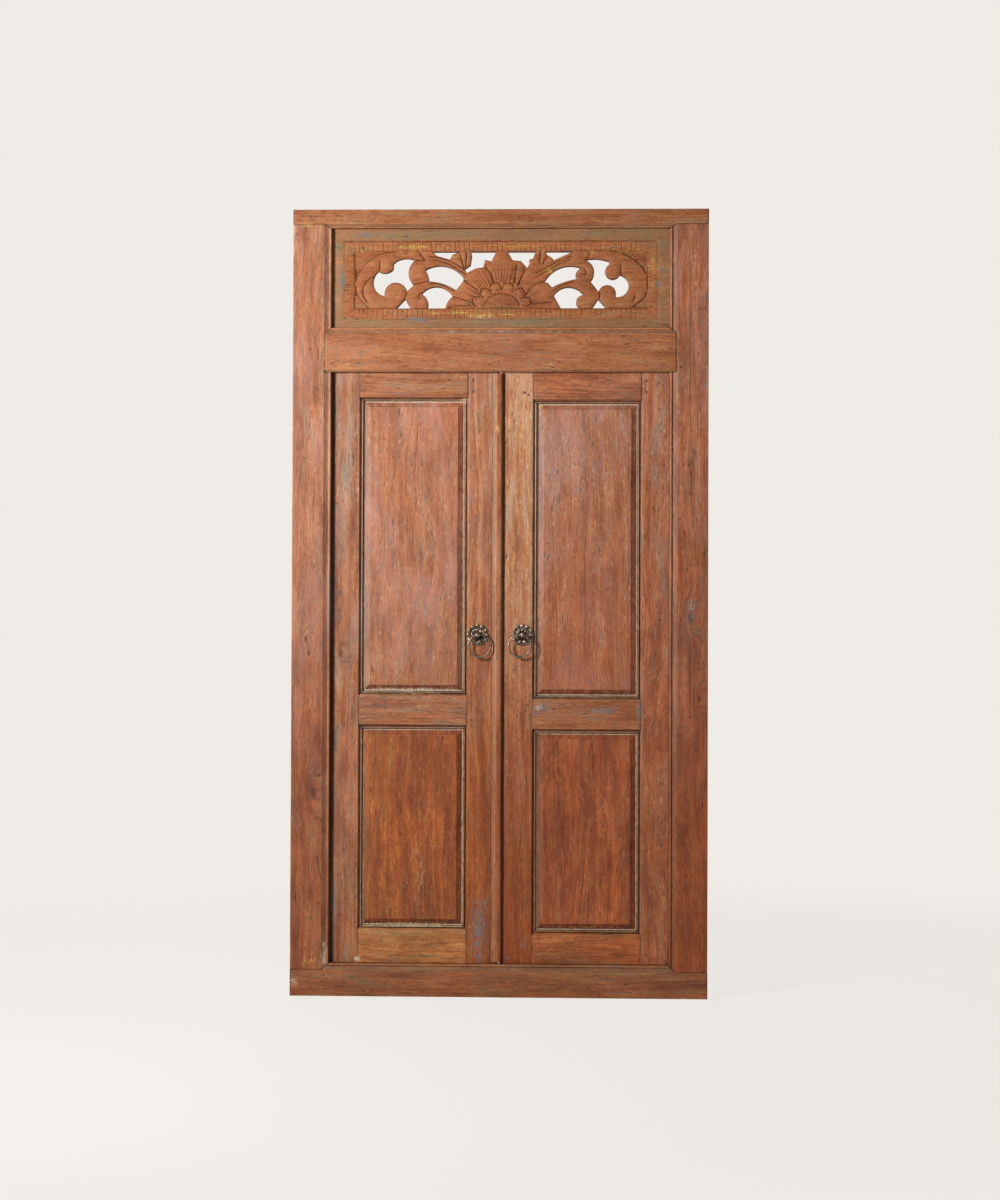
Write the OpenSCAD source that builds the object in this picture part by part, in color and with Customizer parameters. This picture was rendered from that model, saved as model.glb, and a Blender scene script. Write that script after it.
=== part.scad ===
// Carved double door in its frame: two framed leaves with raised panels,
// a pierced fanlight panel above them, ring pulls, and butt hinges at the back.
// X runs across the door, -Y faces the street side, Z is up, and the origin is
// the middle of the sill's underside.

/* [Frame] */
// Width over both jambs
frame_w = 1110; // [900:10:1400]
// Height from the sill's underside to the top of the head
frame_h = 2100; // [1750:10:2600]
// Thickness of the frame, front to back
frame_t = 56; // [54:1:70]
// Width of a jamb's face, moulding included
jamb_w = 104; // [85:1:130]
// Height of the sill, moulding included
sill_h = 89; // [70:1:120]
// Height of the head, moulding included
head_h = 51; // [44:1:80]
// Height of the transom rail, moulding included
transom_h = 119; // [95:1:150]
// Height of the fanlight opening above the transom rail
fanlight_h = 265; // [215:1:330]
// Width of the moulding on the jambs
jamb_mould = 20; // [14:1:26]
// Width of the moulding on the sill
sill_mould = 20; // [14:1:26]
// Width of the moulding under the head
head_mould = 12; // [8:1:16]
// Width of the moulding on top of the transom rail
transom_mould = 16; // [10:1:22]
// Thickness of the front lip that the leaves close against
lip_t = 19; // [16:1:22]
// Depth of the rebate behind the lip
rebate = 10; // [8:1:14]

/* [Leaves] */
// Thickness of the stiles and rails
leaf_t = 35; // [32:1:36]
// Gap between a closed leaf and the back of the lip
leaf_seat = 1; // [0.5:0.5:2]
// Gap between a leaf's hinge edge and the rebate
hinge_gap = 2; // [1.5:0.25:3]
// Gap over and under a leaf
end_gap = 3; // [2:0.5:5]
// Gap between the two leaves at the back
meet_gap = 3; // [3:0.5:5]
// How much wider that gap is at the front, on each leaf
meet_bevel = 2; // [1:0.5:3]
// Face width of the hinge stiles, left and right leaf
hinge_stile_w = [82, 80]; // [70:1:95]
// Face width of the meeting stiles, left and right leaf
meet_stile_w = [83, 86]; // [76:1:95]
// Width of the moulding around the panels
stick_w = 11; // [8:1:14]
// Height of the top rails above their moulding, left and right leaf
top_rail_h = [72, 79]; // [60:1:100]
// Height of the middle rails between their mouldings, left and right leaf
mid_rail_h = [78, 77.5]; // [60:1:100]
// Height of the bottom rails below their moulding, left and right leaf
bottom_rail_h = [94, 84]; // [75:1:130]
// Height of the middle rails' lower edge over the leaf's foot, left and right leaf
mid_rail_z = [641, 631]; // [560:1:760]
// Thickness of a panel
panel_t = 22; // [18:1:24]
// How far a panel's field lies behind the stiles
panel_back = 3; // [1:0.5:4]
// Width of the bevel around a panel's field
bevel_w = 17; // [12:1:24]
// Thickness of a panel's edge
panel_edge_t = 10; // [8:1:12]
// Depth of the groove that holds a panel
groove = 10; // [7:1:12]
// Gap around a panel in its groove
panel_gap = 1.5; // [0.5:0.5:3]

/* [Cover strip] */
// Width of the half-round strip that covers the meeting line
strip_w = 34; // [28:1:40]
// How far the strip stands out from the leaves
strip_t = 13; // [10:1:16]
// How far the strip laps over the right leaf
strip_lap = 12.5; // [8:0.5:18]
// Gap above and below the strip
strip_gap = 3; // [2:0.5:6]

/* [Carved panel] */
// Thickness of the board
board_t = 22; // [18:1:24]
// Depth of the board's front behind the frame's front
board_back = 16; // [14:1:18]
// Depth of the groove that holds the board
board_groove = 8; // [6:1:10]
// Plain margin at each side of the pierced field
margin_x = 59; // [45:1:80]
// Plain margin below the pierced field
margin_low = 52; // [40:1:60]
// Plain margin above the pierced field
margin_high = 58; // [40:1:60]
// Depth of the carved ground behind the board's front
relief = 6; // [3:0.5:8]

/* [Joinery] */
// Thickness of the frame's tenons
frame_tenon_t = 18; // [14:1:22]
// Length of the frame's tenons
frame_tenon_l = 34; // [26:1:38]
// Thickness of the leaves' tenons
leaf_tenon_t = 10; // [8:1:12]
// Length of the leaves' tenons
leaf_tenon_l = 50; // [40:1:58]
// Gap around a tenon in its mortise
tenon_gap = 0.3; // [0.1:0.1:0.6]
// Radius of the wooden pegs
peg_r = 3.5; // [3:0.25:4.5]

/* [Ring pulls] */
// Height of the ring pulls above the sill's underside
pull_z = 963; // [850:5:1050]
// Distance from the meeting line to the left and right rosette
pull_x = [58, 62]; // [52:1:70]
// Radius of a rosette over its petals
rosette_r = 30; // [24:1:34]
// Distance from a leaf's face to the middle of the ring's eye
eye_out = 17; // [16:1:20]
// Radius of the ball that the ring passes through
ball_r = 6.8; // [6.4:0.2:8]
// Radius of a ring, to the middle of its wire
ring_r = 29.8; // [26:0.2:34]
// Radius of the ring's wire
wire_r = 2.7; // [2.3:0.1:3]
// Sideways lean of the left and right ring, towards the meeting line
ring_lean = [12, 14]; // [0:1:15]
// Radius of the bolt behind an eye
bolt_r = 3; // [2.5:0.25:3.5]

/* [Hinges] */
// Height of the two hinges' middles above the sill's underside
hinge_z = [310, 1450]; // [250:10:1550]
// Length of a hinge
hinge_l = 100; // [75:5:125]
// Radius of the hinge pin
pin_r = 3; // [2.5:0.25:3.5]
// Radius of the knuckles
knuckle_r = 5; // [4.75:0.25:6]
// Thickness of the hinge plates
plate_t = 1.7; // [1.5:0.1:2]
// Width of the hinge plates up to the knuckles
plate_w = 24; // [20:1:28]
// Radius of the screws' shanks
screw_r = 2; // [1.75:0.25:2.25]
// Length of the screws
screw_l = 24; // [18:1:30]

/* [Hidden] */
$fn = 48;
eps = 0.01;
fit = 0.05;                  // radial clearance of the hinge pins and wooden pegs
slack = 0.2;                 // clearance around screws, bolts and grooved edges
front = -frame_t / 2;
back = frame_t / 2;
sight_x = frame_w / 2 - jamb_w;              // half of the doorway between the mouldings
shoulder_x = sight_x + jamb_mould;
fan_hi = frame_h - head_h;                   // the fanlight's opening
fan_lo = fan_hi - fanlight_h;
door_hi = fan_lo - transom_h;                // the doorway's opening
door_lo = sill_h;
jamb_lo = sill_h - sill_mould;               // where the jambs' shoulders stand
jamb_hi = fan_hi + head_mould;
frame_drop = 8;                              // depth of the frame's mouldings
transom_bead = 5;                            // thin bead under the transom rail

lip_back = front + lip_t;
reb_x = sight_x + rebate;
reb_lo = door_lo - rebate;
reb_hi = door_hi + rebate;
jamb_tenon_x = [frame_w / 2 - jamb_w * 0.6, frame_w / 2 - jamb_w * 0.1];
head_tenon_l = min(frame_tenon_l, head_h - head_mould - 8);
transom_tenon_z = [door_hi + 5, fan_lo - transom_mould - 5];
peg_l = 34;
// Pegs of the frame: [side, distance from the outer edge, height]
frame_peg_at = [[-1, 46, frame_h - 21], [-1, 23, frame_h - 17], [1, 73, door_hi + 12]];

leaf_front = lip_back + leaf_seat;
leaf_back = leaf_front + leaf_t;
leaf_x = reb_x - hinge_gap;                  // hinge edge of a leaf
leaf_lo = reb_lo + end_gap;
leaf_hi = reb_hi - end_gap;
stick_drop = 7;                              // depth of the leaves' mouldings
field_y = leaf_front + panel_back;
field_step = 1.5;                            // small step around a panel's field
edge_y = leaf_front + 10;                    // front of a panel's edge
tenon_y = edge_y + 2;
leaf_peg_l = 26;
// Pegs of each leaf: [rail, at the hinge side, distance past the shoulder, height over the rail's edge]
leaf_peg_at = [
    [["top", false, 12, 46], ["top", false, 12, 14], ["mid", true, 14, 61], ["mid", true, 14, 14],
        ["mid", false, 10, 57], ["mid", false, 10, 12]],
    [["top", false, 22, 18], ["top", false, 12, 12], ["top", true, 11, 50], ["top", true, 11, 20],
        ["mid", false, 11, 64], ["mid", true, 11, 24]]];

nail_z = [0.29, 0.65];                       // nails up the cover strip, as shares of its length
nail_r = 1.2;
nail_head_r = 2.4;
nail_l = 30;
strip_left = strip_lap - strip_w;
strip_mid = (strip_left + strip_lap) / 2;
strip_z = [door_lo + strip_gap, door_hi - strip_gap];
nail_x = -strip_mid + 2.5;
strip_round = (strip_w * strip_w / 4 + strip_t * strip_t) / (2 * strip_t);

fan_front = front + board_back;
carve_w = 2 * (sight_x - margin_x);          // the pierced field
carve_h = fanlight_h - margin_low - margin_high;
carve_lo = fan_lo + margin_low;
drawn_w = 784;                               // the pattern's points are drawn for this field
drawn_h = 155;

petal_n = 12;
petal_r = 6.2;
plate_depth = 3;                             // thickness of a rosette's plate
boss_r = 13;
boss_h = 8;
neck_r = 3.8;
flare_r = 10;                                // rounding of the eye's mouth
wire_gap = 0.7;                              // clearance of the ring in its eye
eye_y = leaf_front - eye_out;
washer_r = 9;
washer_t = 1.6;
nut_w = 11;                                  // across the flats
nut_t = 5;

knuckle_n = 5;
knuckle_gap = 0.3;
knuckle_y = back + knuckle_r + 0.5;
gap_mid = reb_x - hinge_gap / 2;             // the pin stands behind the middle of the gap
plate_off = 0.1;                             // from the middle of the gap to a plate
screw_at = [-0.34, 0, 0.34];                 // screws along a hinge, as shares of its length
screw_head_r = 3.8;
screw_y = back - plate_w / 2;

teak = [0.62, 0.36, 0.22];
teak_dark = [0.50, 0.27, 0.17];
teak_pale = [0.66, 0.45, 0.30];
old_brass = [0.42, 0.34, 0.20];
iron = [0.25, 0.24, 0.23];

SIDES = ["left", "right"];
HINGES = ["lower", "upper"];
LEAF_PIECES = ["hinge_stile", "meeting_stile", "top_rail", "mid_rail", "bottom_rail", "upper_panel",
    "lower_panel", "leaf_pegs", "rosette", "ring_eye", "ring", "eye_washer", "eye_nut", "jamb_screws",
    "leaf_screws"];

// A stretch from p towards q that bows to the left by s (to the right when s is negative)
function bow(p, q, s) = s == 0 ? [p] :
    let (half = norm(q - p) / 2, dir = (q - p) / (2 * half), left = [-dir.y, dir.x],
        r = (half * half + s * s) / (2 * abs(s)),
        c = (p + q) / 2 + left * (s - sign(s) * r), a0 = atan2(p.y - c.y, p.x - c.x),
        sweep = 4 * atan(abs(s) / half), n = max(2, ceil(sweep / 14)))
    [for (i = [0:n - 1]) let (a = a0 - sign(s) * sweep * i / n) c + r * [cos(a), sin(a)]];

// A closed outline from corners [x, y, bow to the next corner]
function outline(corners) = [for (i = [0:len(corners) - 1])
    let (a = corners[i], b = corners[(i + 1) % len(corners)])
    each bow([a[0], a[1]], [b[0], b[1]], a[2])];

// Section of a moulding, from its edge to the face: [distance from the edge, depth behind the face]
function moulding(w, drop) = concat(
    [for (a = [0:22.5:180]) [w * 0.23 * (1 - cos(a)), drop * (1 - 0.72 * sin(a))]],
    [[w * 0.56, drop * 0.92], [w * 0.93, drop * 0.6], [w, 0]]);

function flip(list) = [for (i = [len(list) - 1:-1:0]) list[i]];

module block(x, y, z) {
    translate([x[0], y[0], z[0]]) cube([x[1] - x[0], y[1] - y[0], z[1] - z[0]]);
}
// Bars with their section in YZ, XY or XZ
module along_x(x, section) {
    translate([x[0], 0, 0]) rotate([90, 0, 90]) linear_extrude(x[1] - x[0]) polygon(section);
}
module along_y(y, section) {
    translate([0, y[1], 0]) rotate([90, 0, 0]) linear_extrude(y[1] - y[0]) polygon(section);
}
module along_z(z, section) {
    translate([0, 0, z[0]]) linear_extrude(z[1] - z[0]) polygon(section);
}
// A rod from the point p towards +Y
module rod(p, r, length) {
    translate([p[0], p[1] + length, p[2]]) rotate([90, 0, 0]) cylinder(r = r, h = length);
}
// Everything on the left is drawn as on the right and mirrored
module on_side(i) {
    mirror([i == 0 ? 1 : 0, 0, 0]) children();
}

// Front outlines of the members across the frame, with mitres at their mouldings
sill_out = [[-frame_w / 2, 0], [frame_w / 2, 0], [frame_w / 2, jamb_lo], [shoulder_x, jamb_lo],
    [sight_x, sill_h], [-sight_x, sill_h], [-shoulder_x, jamb_lo], [-frame_w / 2, jamb_lo]];
head_out = [[-frame_w / 2, frame_h], [-frame_w / 2, jamb_hi], [-shoulder_x, jamb_hi],
    [-sight_x, fan_hi], [sight_x, fan_hi], [shoulder_x, jamb_hi], [frame_w / 2, jamb_hi],
    [frame_w / 2, frame_h]];
transom_out = [[-shoulder_x, door_hi], [shoulder_x, door_hi], [shoulder_x, fan_lo - transom_mould],
    [sight_x, fan_lo], [-sight_x, fan_lo], [-shoulder_x, fan_lo - transom_mould]];

// Tenons on top and foot of the right jamb, and on the right end of the transom rail
module jamb_tenons(grow) {
    x = [jamb_tenon_x[0] - grow, jamb_tenon_x[1] + grow];
    y = [-frame_tenon_t / 2 - grow, frame_tenon_t / 2 + grow];
    block(x, y, [jamb_lo - frame_tenon_l - grow, jamb_lo + eps]);
    block(x, y, [jamb_hi - eps, jamb_hi + head_tenon_l + grow]);
}
module transom_tenon(grow) {
    block([shoulder_x - eps, shoulder_x + frame_tenon_l + grow],
        [-frame_tenon_t / 2 - grow, frame_tenon_t / 2 + grow],
        [transom_tenon_z[0] - grow, transom_tenon_z[1] + grow]);
}
module frame_peg_rods(r, extra) {
    for (p = frame_peg_at)
        rod([p[0] * (frame_w / 2 - p[1]), front, p[2]], r, peg_l + extra);
}
// The edge of the carved board in the grooves around it
module board_seat(grow, gap) {
    block([-sight_x - board_groove - grow, sight_x + board_groove + grow],
        [fan_front - gap, fan_front + board_t + gap],
        [fan_lo - board_groove - grow, fan_hi + board_groove + grow]);
}
// The space behind the lip that the leaves close into
module door_rebate() {
    block([-reb_x, reb_x], [lip_back, back + 1], [reb_lo, reb_hi]);
}

module sill() {
    color(teak) difference() {
        intersection() {
            along_x([-frame_w / 2, frame_w / 2], concat([[front, 0], [back, 0], [back, sill_h]],
                [for (m = moulding(sill_mould, frame_drop)) [front + m[1], sill_h - m[0]]]));
            along_y([front - 1, back + 1], sill_out);
        }
        door_rebate();
        for (i = [0, 1]) on_side(i) jamb_tenons(tenon_gap);
    }
}
module head() {
    color(teak) difference() {
        intersection() {
            along_x([-frame_w / 2, frame_w / 2], concat([[front, frame_h], [back, frame_h], [back, fan_hi]],
                [for (m = moulding(head_mould, frame_drop)) [front + m[1], fan_hi + m[0]]]));
            along_y([front - 1, back + 1], head_out);
        }
        board_seat(1, slack);
        for (i = [0, 1]) on_side(i) jamb_tenons(tenon_gap);
        frame_peg_rods(peg_r + fit, 1);
    }
}
module transom_rail() {
    color(teak) difference() {
        union() {
            intersection() {
                along_x([-shoulder_x, shoulder_x], concat([[back, door_hi], [back, fan_lo]],
                    [for (m = moulding(transom_mould, frame_drop)) [front + m[1], fan_lo - m[0]]],
                    flip([for (m = moulding(transom_bead, 4)) [front + m[1], door_hi + m[0]]])));
                along_y([front - 1, back + 1], transom_out);
            }
            for (i = [0, 1]) on_side(i) transom_tenon(0);
        }
        door_rebate();
        board_seat(1, slack);
        frame_peg_rods(peg_r + fit, 1);
    }
}
module jamb(i) {
    color(teak) difference() {
        union() {
            difference() {
                along_z([jamb_lo, jamb_hi], concat([[frame_w / 2, front], [frame_w / 2, back], [sight_x, back]],
                    [for (m = moulding(jamb_mould, frame_drop)) [sight_x + m[0], front + m[1]]]));
                for (member = [sill_out, head_out, transom_out]) along_y([front - 1, back + 1], member);
            }
            jamb_tenons(0);
        }
        door_rebate();
        board_seat(1, slack);
        transom_tenon(tenon_gap);
        on_side(i) frame_peg_rods(peg_r + fit, 1);
        for (z = hinge_z) {
            block([reb_x - 1, gap_mid + plate_off + plate_t], [back - plate_w, back + 1],
                [z - hinge_l / 2, z + hinge_l / 2]);
            screw_rods(z, 1, screw_r + slack, screw_l + 1);
        }
    }
}
module frame_pegs() {
    color(teak_dark) frame_peg_rods(peg_r, 0);
}

// Pierced openings of the fanlight: corners [x, z, bow], x from the middle, z over the field's foot
pierced = [
    [[-230, 130, -9], [-287, 122, 0], [-288, 107, 8], [-328, 101, -22], [-311, 34, 30], [-251, 47, 0],
        [-233, 63, 15.5]],
    [[-202, 104, 21], [-99, 82, 0], [-101, 73, 0], [-119, 50, -5], [-193, 74, -3]],
    [[-212, 39, 23], [-129, 33, -3.5], [-148, 1, 0], [-196, 1, -8.5]],
    [[-256, 26, 0], [-242, 1, 0], [-280, 1, 0]],
    [[-181, 153, 0], [-109, 153, 0], [-129, 145, 0], [-136, 132, 0], [-172, 142, 0]],
    [[-79, 153, 0], [-12, 153, 0], [-25, 127, 0], [-42, 131, 0], [-47, 111, 0], [-68, 108, 0],
        [-90, 96, 0], [-97, 106, 0], [-81, 117, 0], [-77, 142, 0]],
    [[19, 153, 0], [93, 153, 0], [86, 134, 0], [76, 131, 0], [77, 121, 0], [71, 109, 0], [54, 128, 0],
        [32, 130, 0]],
    [[121, 153, 0], [194, 153, 0], [142, 130, 0], [137, 137, 0], [124, 144, 0]],
    [[117, 71, 21], [217, 108, -8], [202, 79, -3], [137, 57, 0], [127, 69, 0]],
    [[142, 35, 22], [221, 36, -13], [209, 1, 0], [161, 1, 0]],
    [[225, 130, 5], [289, 126, 0], [291, 118, -27.5], [318, 90, 29.5], [307, 31, -25], [262, 45, 0],
        [240, 73, -17]],
    [[261, 25, 0], [281, 1, 0], [245, 1, 0]]];
// Raised scroll ends and buds: [x, z, radius]
scrolls = [[-281, 40, 27], [-308, 118, 18], [-219, 98, 22], [-219, 24, 22], [284, 38, 25],
    [298, 100, 17], [233, 98, 20], [232, 24, 20]];
petal_tips = [-75, -50, -25, 0, 25, 50, 75];   // directions of the flower's petals, from upright

// A point of the pattern at its place in the board
function carved(p) = [p[0] * carve_w / drawn_w, carve_lo + p[1] * carve_h / drawn_h];
function turned(p, a) = [p[0] * cos(a) + p[1] * sin(a), p[1] * cos(a) - p[0] * sin(a)];
petal = outline([[-9, 60, 0], [9, 60, -5], [10, 90, -3], [0, 108, -3], [-10, 90, -5]]);

// Scroll ends, the half-flower's middle, its bead ring and its petals, at their depths
module raised_work() {
    for (s = scrolls)
        along_y([fan_front, fan_front + relief + 1],
            [for (a = [0:15:345]) carved([s[0] + s[2] * cos(a), s[1] + s[2] * sin(a)])]);
    for (disc = [[46, 0], [66, relief / 3]])
        along_y([fan_front + disc[1], fan_front + relief + 1],
            [for (a = [0:10:350]) carved([disc[0] * cos(a), disc[0] * sin(a)])]);
    for (a = petal_tips)
        along_y([fan_front + relief / 2, fan_front + relief + 1], [for (p = petal) carved(turned(p, a))]);
}
module carved_panel() {
    color(teak_pale) difference() {
        board_seat(0, 0);
        difference() {
            block([-carve_w / 2, carve_w / 2], [fan_front - 1, fan_front + relief],
                [carve_lo, carve_lo + carve_h]);
            raised_work();
        }
        for (hole = pierced)
            along_y([fan_front - 1, fan_front + board_t + 1], [for (p = outline(hole)) carved(p)]);
    }
}

// Places in a leaf, measured from the meeting line towards the hinges
function hinge_shoulder(i) = leaf_x - hinge_stile_w[i];
function hinge_sight(i) = hinge_shoulder(i) - stick_w;
function meet_shoulder(i) = meet_gap / 2 + meet_stile_w[i];
function meet_sight(i) = meet_shoulder(i) + stick_w;
function rail_z(i, rail) =
    rail == "top" ? [leaf_hi - top_rail_h[i], leaf_hi] :
    rail == "mid" ? [leaf_lo + mid_rail_z[i], leaf_lo + mid_rail_z[i] + mid_rail_h[i]] :
    [leaf_lo, leaf_lo + bottom_rail_h[i]];
function panel_z(i, panel) = panel == "upper"
    ? [rail_z(i, "mid")[1] + stick_w, rail_z(i, "top")[0] - stick_w]
    : [rail_z(i, "bottom")[1] + stick_w, rail_z(i, "mid")[0] - stick_w];
function tenon_z(i, rail) = let (z = rail_z(i, rail))
    [z[0] + (rail == "bottom" ? 12 : 4), z[1] - (rail == "top" ? 12 : 4)];
function rail_out(i, rail) = let (z = rail_z(i, rail),
        a = rail == "bottom" ? 0 : stick_w, b = rail == "top" ? 0 : stick_w)
    [[meet_shoulder(i), z[0]], if (a > 0) [meet_sight(i), z[0] - a], if (a > 0) [hinge_sight(i), z[0] - a],
        [hinge_shoulder(i), z[0]], [hinge_shoulder(i), z[1]], if (b > 0) [hinge_sight(i), z[1] + b],
        if (b > 0) [meet_sight(i), z[1] + b], [meet_shoulder(i), z[1]]];
function stick() = moulding(stick_w, stick_drop);

module rail_tenons(i, rail, grow) {
    z = tenon_z(i, rail);
    for (x = [[meet_shoulder(i) - leaf_tenon_l - grow, meet_shoulder(i) + eps],
            [hinge_shoulder(i) - eps, hinge_shoulder(i) + leaf_tenon_l + grow]])
        block(x, [tenon_y - grow, tenon_y + leaf_tenon_t + grow], [z[0] - grow, z[1] + grow]);
}
module panel_grooves(i) {
    for (panel = ["lower", "upper"]) {
        z = panel_z(i, panel);
        block([meet_sight(i) - groove, hinge_sight(i) + groove],
            [edge_y - slack, edge_y + panel_edge_t + slack], [z[0] - groove, z[1] + groove]);
    }
}
module leaf_peg_rods(i, r, extra) {
    for (p = leaf_peg_at[i])
        rod([p[1] ? hinge_shoulder(i) + p[2] : meet_shoulder(i) - p[2], leaf_front,
            rail_z(i, p[0])[0] + p[3]], r, leaf_peg_l + extra);
}
// Cuts that both stiles of a leaf share
module stile_cuts(i) {
    for (rail = ["top", "mid", "bottom"]) {
        along_y([front - 1, back + 1], rail_out(i, rail));
        rail_tenons(i, rail, tenon_gap);
    }
    panel_grooves(i);
    leaf_peg_rods(i, peg_r + fit, 1);
}
module hinge_stile(i) {
    color(teak) difference() {
        along_z([leaf_lo, leaf_hi], concat([[leaf_x, leaf_front], [leaf_x, leaf_back], [hinge_sight(i), leaf_back]],
            [for (m = stick()) [hinge_sight(i) + m[0], leaf_front + m[1]]]));
        stile_cuts(i);
        for (z = hinge_z) {
            block([gap_mid - plate_off - plate_t, leaf_x + 1], [back - plate_w, back + 1],
                [z - hinge_l / 2, z + hinge_l / 2]);
            screw_rods(z, -1, screw_r + slack, screw_l + 1);
        }
    }
}
module meeting_stile(i) {
    color(teak) difference() {
        along_z([leaf_lo, leaf_hi], concat([[meet_gap / 2 + meet_bevel, leaf_front], [meet_gap / 2, leaf_back],
            [meet_sight(i), leaf_back]],
            [for (m = stick()) [meet_sight(i) - m[0], leaf_front + m[1]]]));
        stile_cuts(i);
        rod([pull_x[i], leaf_front - 1, pull_z], bolt_r + slack, leaf_t + 2);
        if (i == 0) strip_nail_rods(nail_r + fit, 1);
    }
}
module rail(i, name) {
    z = rail_z(i, name);
    low = name == "bottom" ? [[leaf_front, z[0]], [leaf_back, z[0]]]
        : concat(flip([for (m = stick()) [leaf_front + m[1], z[0] - stick_w + m[0]]]),
            [[leaf_back, z[0] - stick_w]]);
    high = name == "top" ? [[leaf_back, z[1]], [leaf_front, z[1]]]
        : concat([[leaf_back, z[1] + stick_w]],
            [for (m = stick()) [leaf_front + m[1], z[1] + stick_w - m[0]]]);
    color(teak) difference() {
        union() {
            intersection() {
                along_x([meet_shoulder(i), hinge_shoulder(i)], concat(low, high));
                along_y([front - 1, back + 1], rail_out(i, name));
            }
            rail_tenons(i, name, 0);
        }
        panel_grooves(i);
        leaf_peg_rods(i, peg_r + fit, 1);
    }
}
// Section of a raised panel between two sight lines: [across, depth]
function panel_section(a, b) = let (reach = groove - panel_gap, back_y = field_y + panel_t)
    [[a - reach, edge_y], [a + 1, edge_y], [a + bevel_w, field_y + field_step], [a + bevel_w, field_y],
        [b - bevel_w, field_y], [b - bevel_w, field_y + field_step], [b - 1, edge_y], [b + reach, edge_y],
        [b + reach, edge_y + panel_edge_t], [b - 2, edge_y + panel_edge_t], [b - 2 - bevel_w / 2, back_y],
        [a + 2 + bevel_w / 2, back_y], [a + 2, edge_y + panel_edge_t], [a - reach, edge_y + panel_edge_t]];
module raised_panel(i, name) {
    z = panel_z(i, name);
    color(teak_dark) intersection() {
        along_z([z[0] - groove, z[1] + groove], panel_section(meet_sight(i), hinge_sight(i)));
        along_x([meet_sight(i) - groove, hinge_sight(i) + groove],
            [for (p = panel_section(z[0], z[1])) [p[1], p[0]]]);
    }
}
module leaf_pegs(i) {
    color(teak_dark) leaf_peg_rods(i, peg_r, 0);
}

// The strip is drawn mirrored, because it belongs to the left leaf
module cover_strip() {
    color(teak) difference() {
        intersection() {
            translate([-strip_mid, leaf_front - strip_t + strip_round, strip_z[0]])
                cylinder(r = strip_round, h = strip_z[1] - strip_z[0], $fn = 96);
            block([-strip_lap, -strip_left], [leaf_front - strip_t - 1, leaf_front], strip_z);
        }
        block([-strip_lap - 1, 0], [leaf_front - 0.5, leaf_front + 1], [strip_z[0] - 1, strip_z[1] + 1]);
        strip_nail_rods(nail_r + fit, 1);
        for (t = nail_z)
            rod([nail_x, leaf_front - strip_t - 1, strip_z[0] + t * (strip_z[1] - strip_z[0])], nail_head_r + fit, 2.5);
    }
}
module strip_nail_rods(r, extra) {
    for (t = nail_z)
        rod([nail_x, leaf_front - strip_t + 1.5 - eps, strip_z[0] + t * (strip_z[1] - strip_z[0])], r,
            nail_l + eps + extra);
}
module strip_nails() {
    color(iron) {
        strip_nail_rods(nail_r, 0);
        for (t = nail_z)
            rod([nail_x, leaf_front - strip_t + 0.5, strip_z[0] + t * (strip_z[1] - strip_z[0])], nail_head_r, 1);
    }
}

// Ring pull: a rosette, an eye with its bolt, the ring, and the washer and nut behind the leaf
module at_pull(i) {
    translate([pull_x[i], leaf_front, pull_z]) children();
}
module rosette(i) {
    color(old_brass) at_pull(i) difference() {
        rotate([90, 0, 0]) union() {
            cylinder(r = rosette_r - petal_r, h = plate_depth);
            for (k = [0:petal_n - 1]) rotate(360 / petal_n * k)
                translate([rosette_r - petal_r, 0, 0]) cylinder(r = petal_r, h = plate_depth + 1);
            rotate_extrude() polygon([[0, 0], [boss_r + 4, 0], [boss_r + 3, plate_depth + 1.5],
                [boss_r, plate_depth + 1], [boss_r * 0.8, boss_h - 1], [boss_r * 0.5, boss_h], [0, boss_h]]);
        }
        rotate([90, 0, 0]) translate([0, 0, -1]) cylinder(r = neck_r + slack, h = boss_h + 2);
    }
}
// Section of the eye about its hole: a ball outside, a throat flared to both mouths inside
function throat(x) = wire_r + wire_gap + flare_r - sqrt(flare_r * flare_r - x * x);
function eye_section() = let (mouth = ball_r * sin(45))
    concat([for (a = [-45:9:45]) [ball_r * cos(a), ball_r * sin(a)]],
        [for (k = [4, 3, 2, 1, -1, -2, -3, -4]) [throat(mouth * k / 4), mouth * k / 4]]);
module ring_eye(i) {
    color(old_brass) at_pull(i) {
        translate([0, -eye_out, 0]) rotate([0, 90, 0]) rotate_extrude() polygon(eye_section());
        rod([0, -eye_out + (ball_r + wire_r) / 2, 0], neck_r, eye_out - (ball_r + wire_r) / 2);
        rod([0, -eps, 0], bolt_r, leaf_t + washer_t + nut_t + 2);
    }
}
module ring(i) {
    color(old_brass)
        translate([pull_x[i] - ring_r * sin(ring_lean[i]), eye_y, pull_z - ring_r * cos(ring_lean[i])])
            rotate([90, 0, 0]) rotate_extrude($fn = 96) translate([ring_r, 0]) circle(r = wire_r, $fn = 24);
}
module eye_washer(i) {
    color(iron) at_pull(i) difference() {
        rod([0, leaf_t, 0], washer_r, washer_t);
        rod([0, leaf_t - 1, 0], bolt_r + slack, washer_t + 2);
    }
}
module eye_nut(i) {
    color(iron) at_pull(i) difference() {
        translate([0, leaf_t + washer_t + nut_t, 0]) rotate([90, 0, 0])
            cylinder(r = nut_w / 2 / cos(30), h = nut_t, $fn = 6);
        rod([0, leaf_t, 0], bolt_r + fit, washer_t + nut_t + 1);
    }
}

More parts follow.
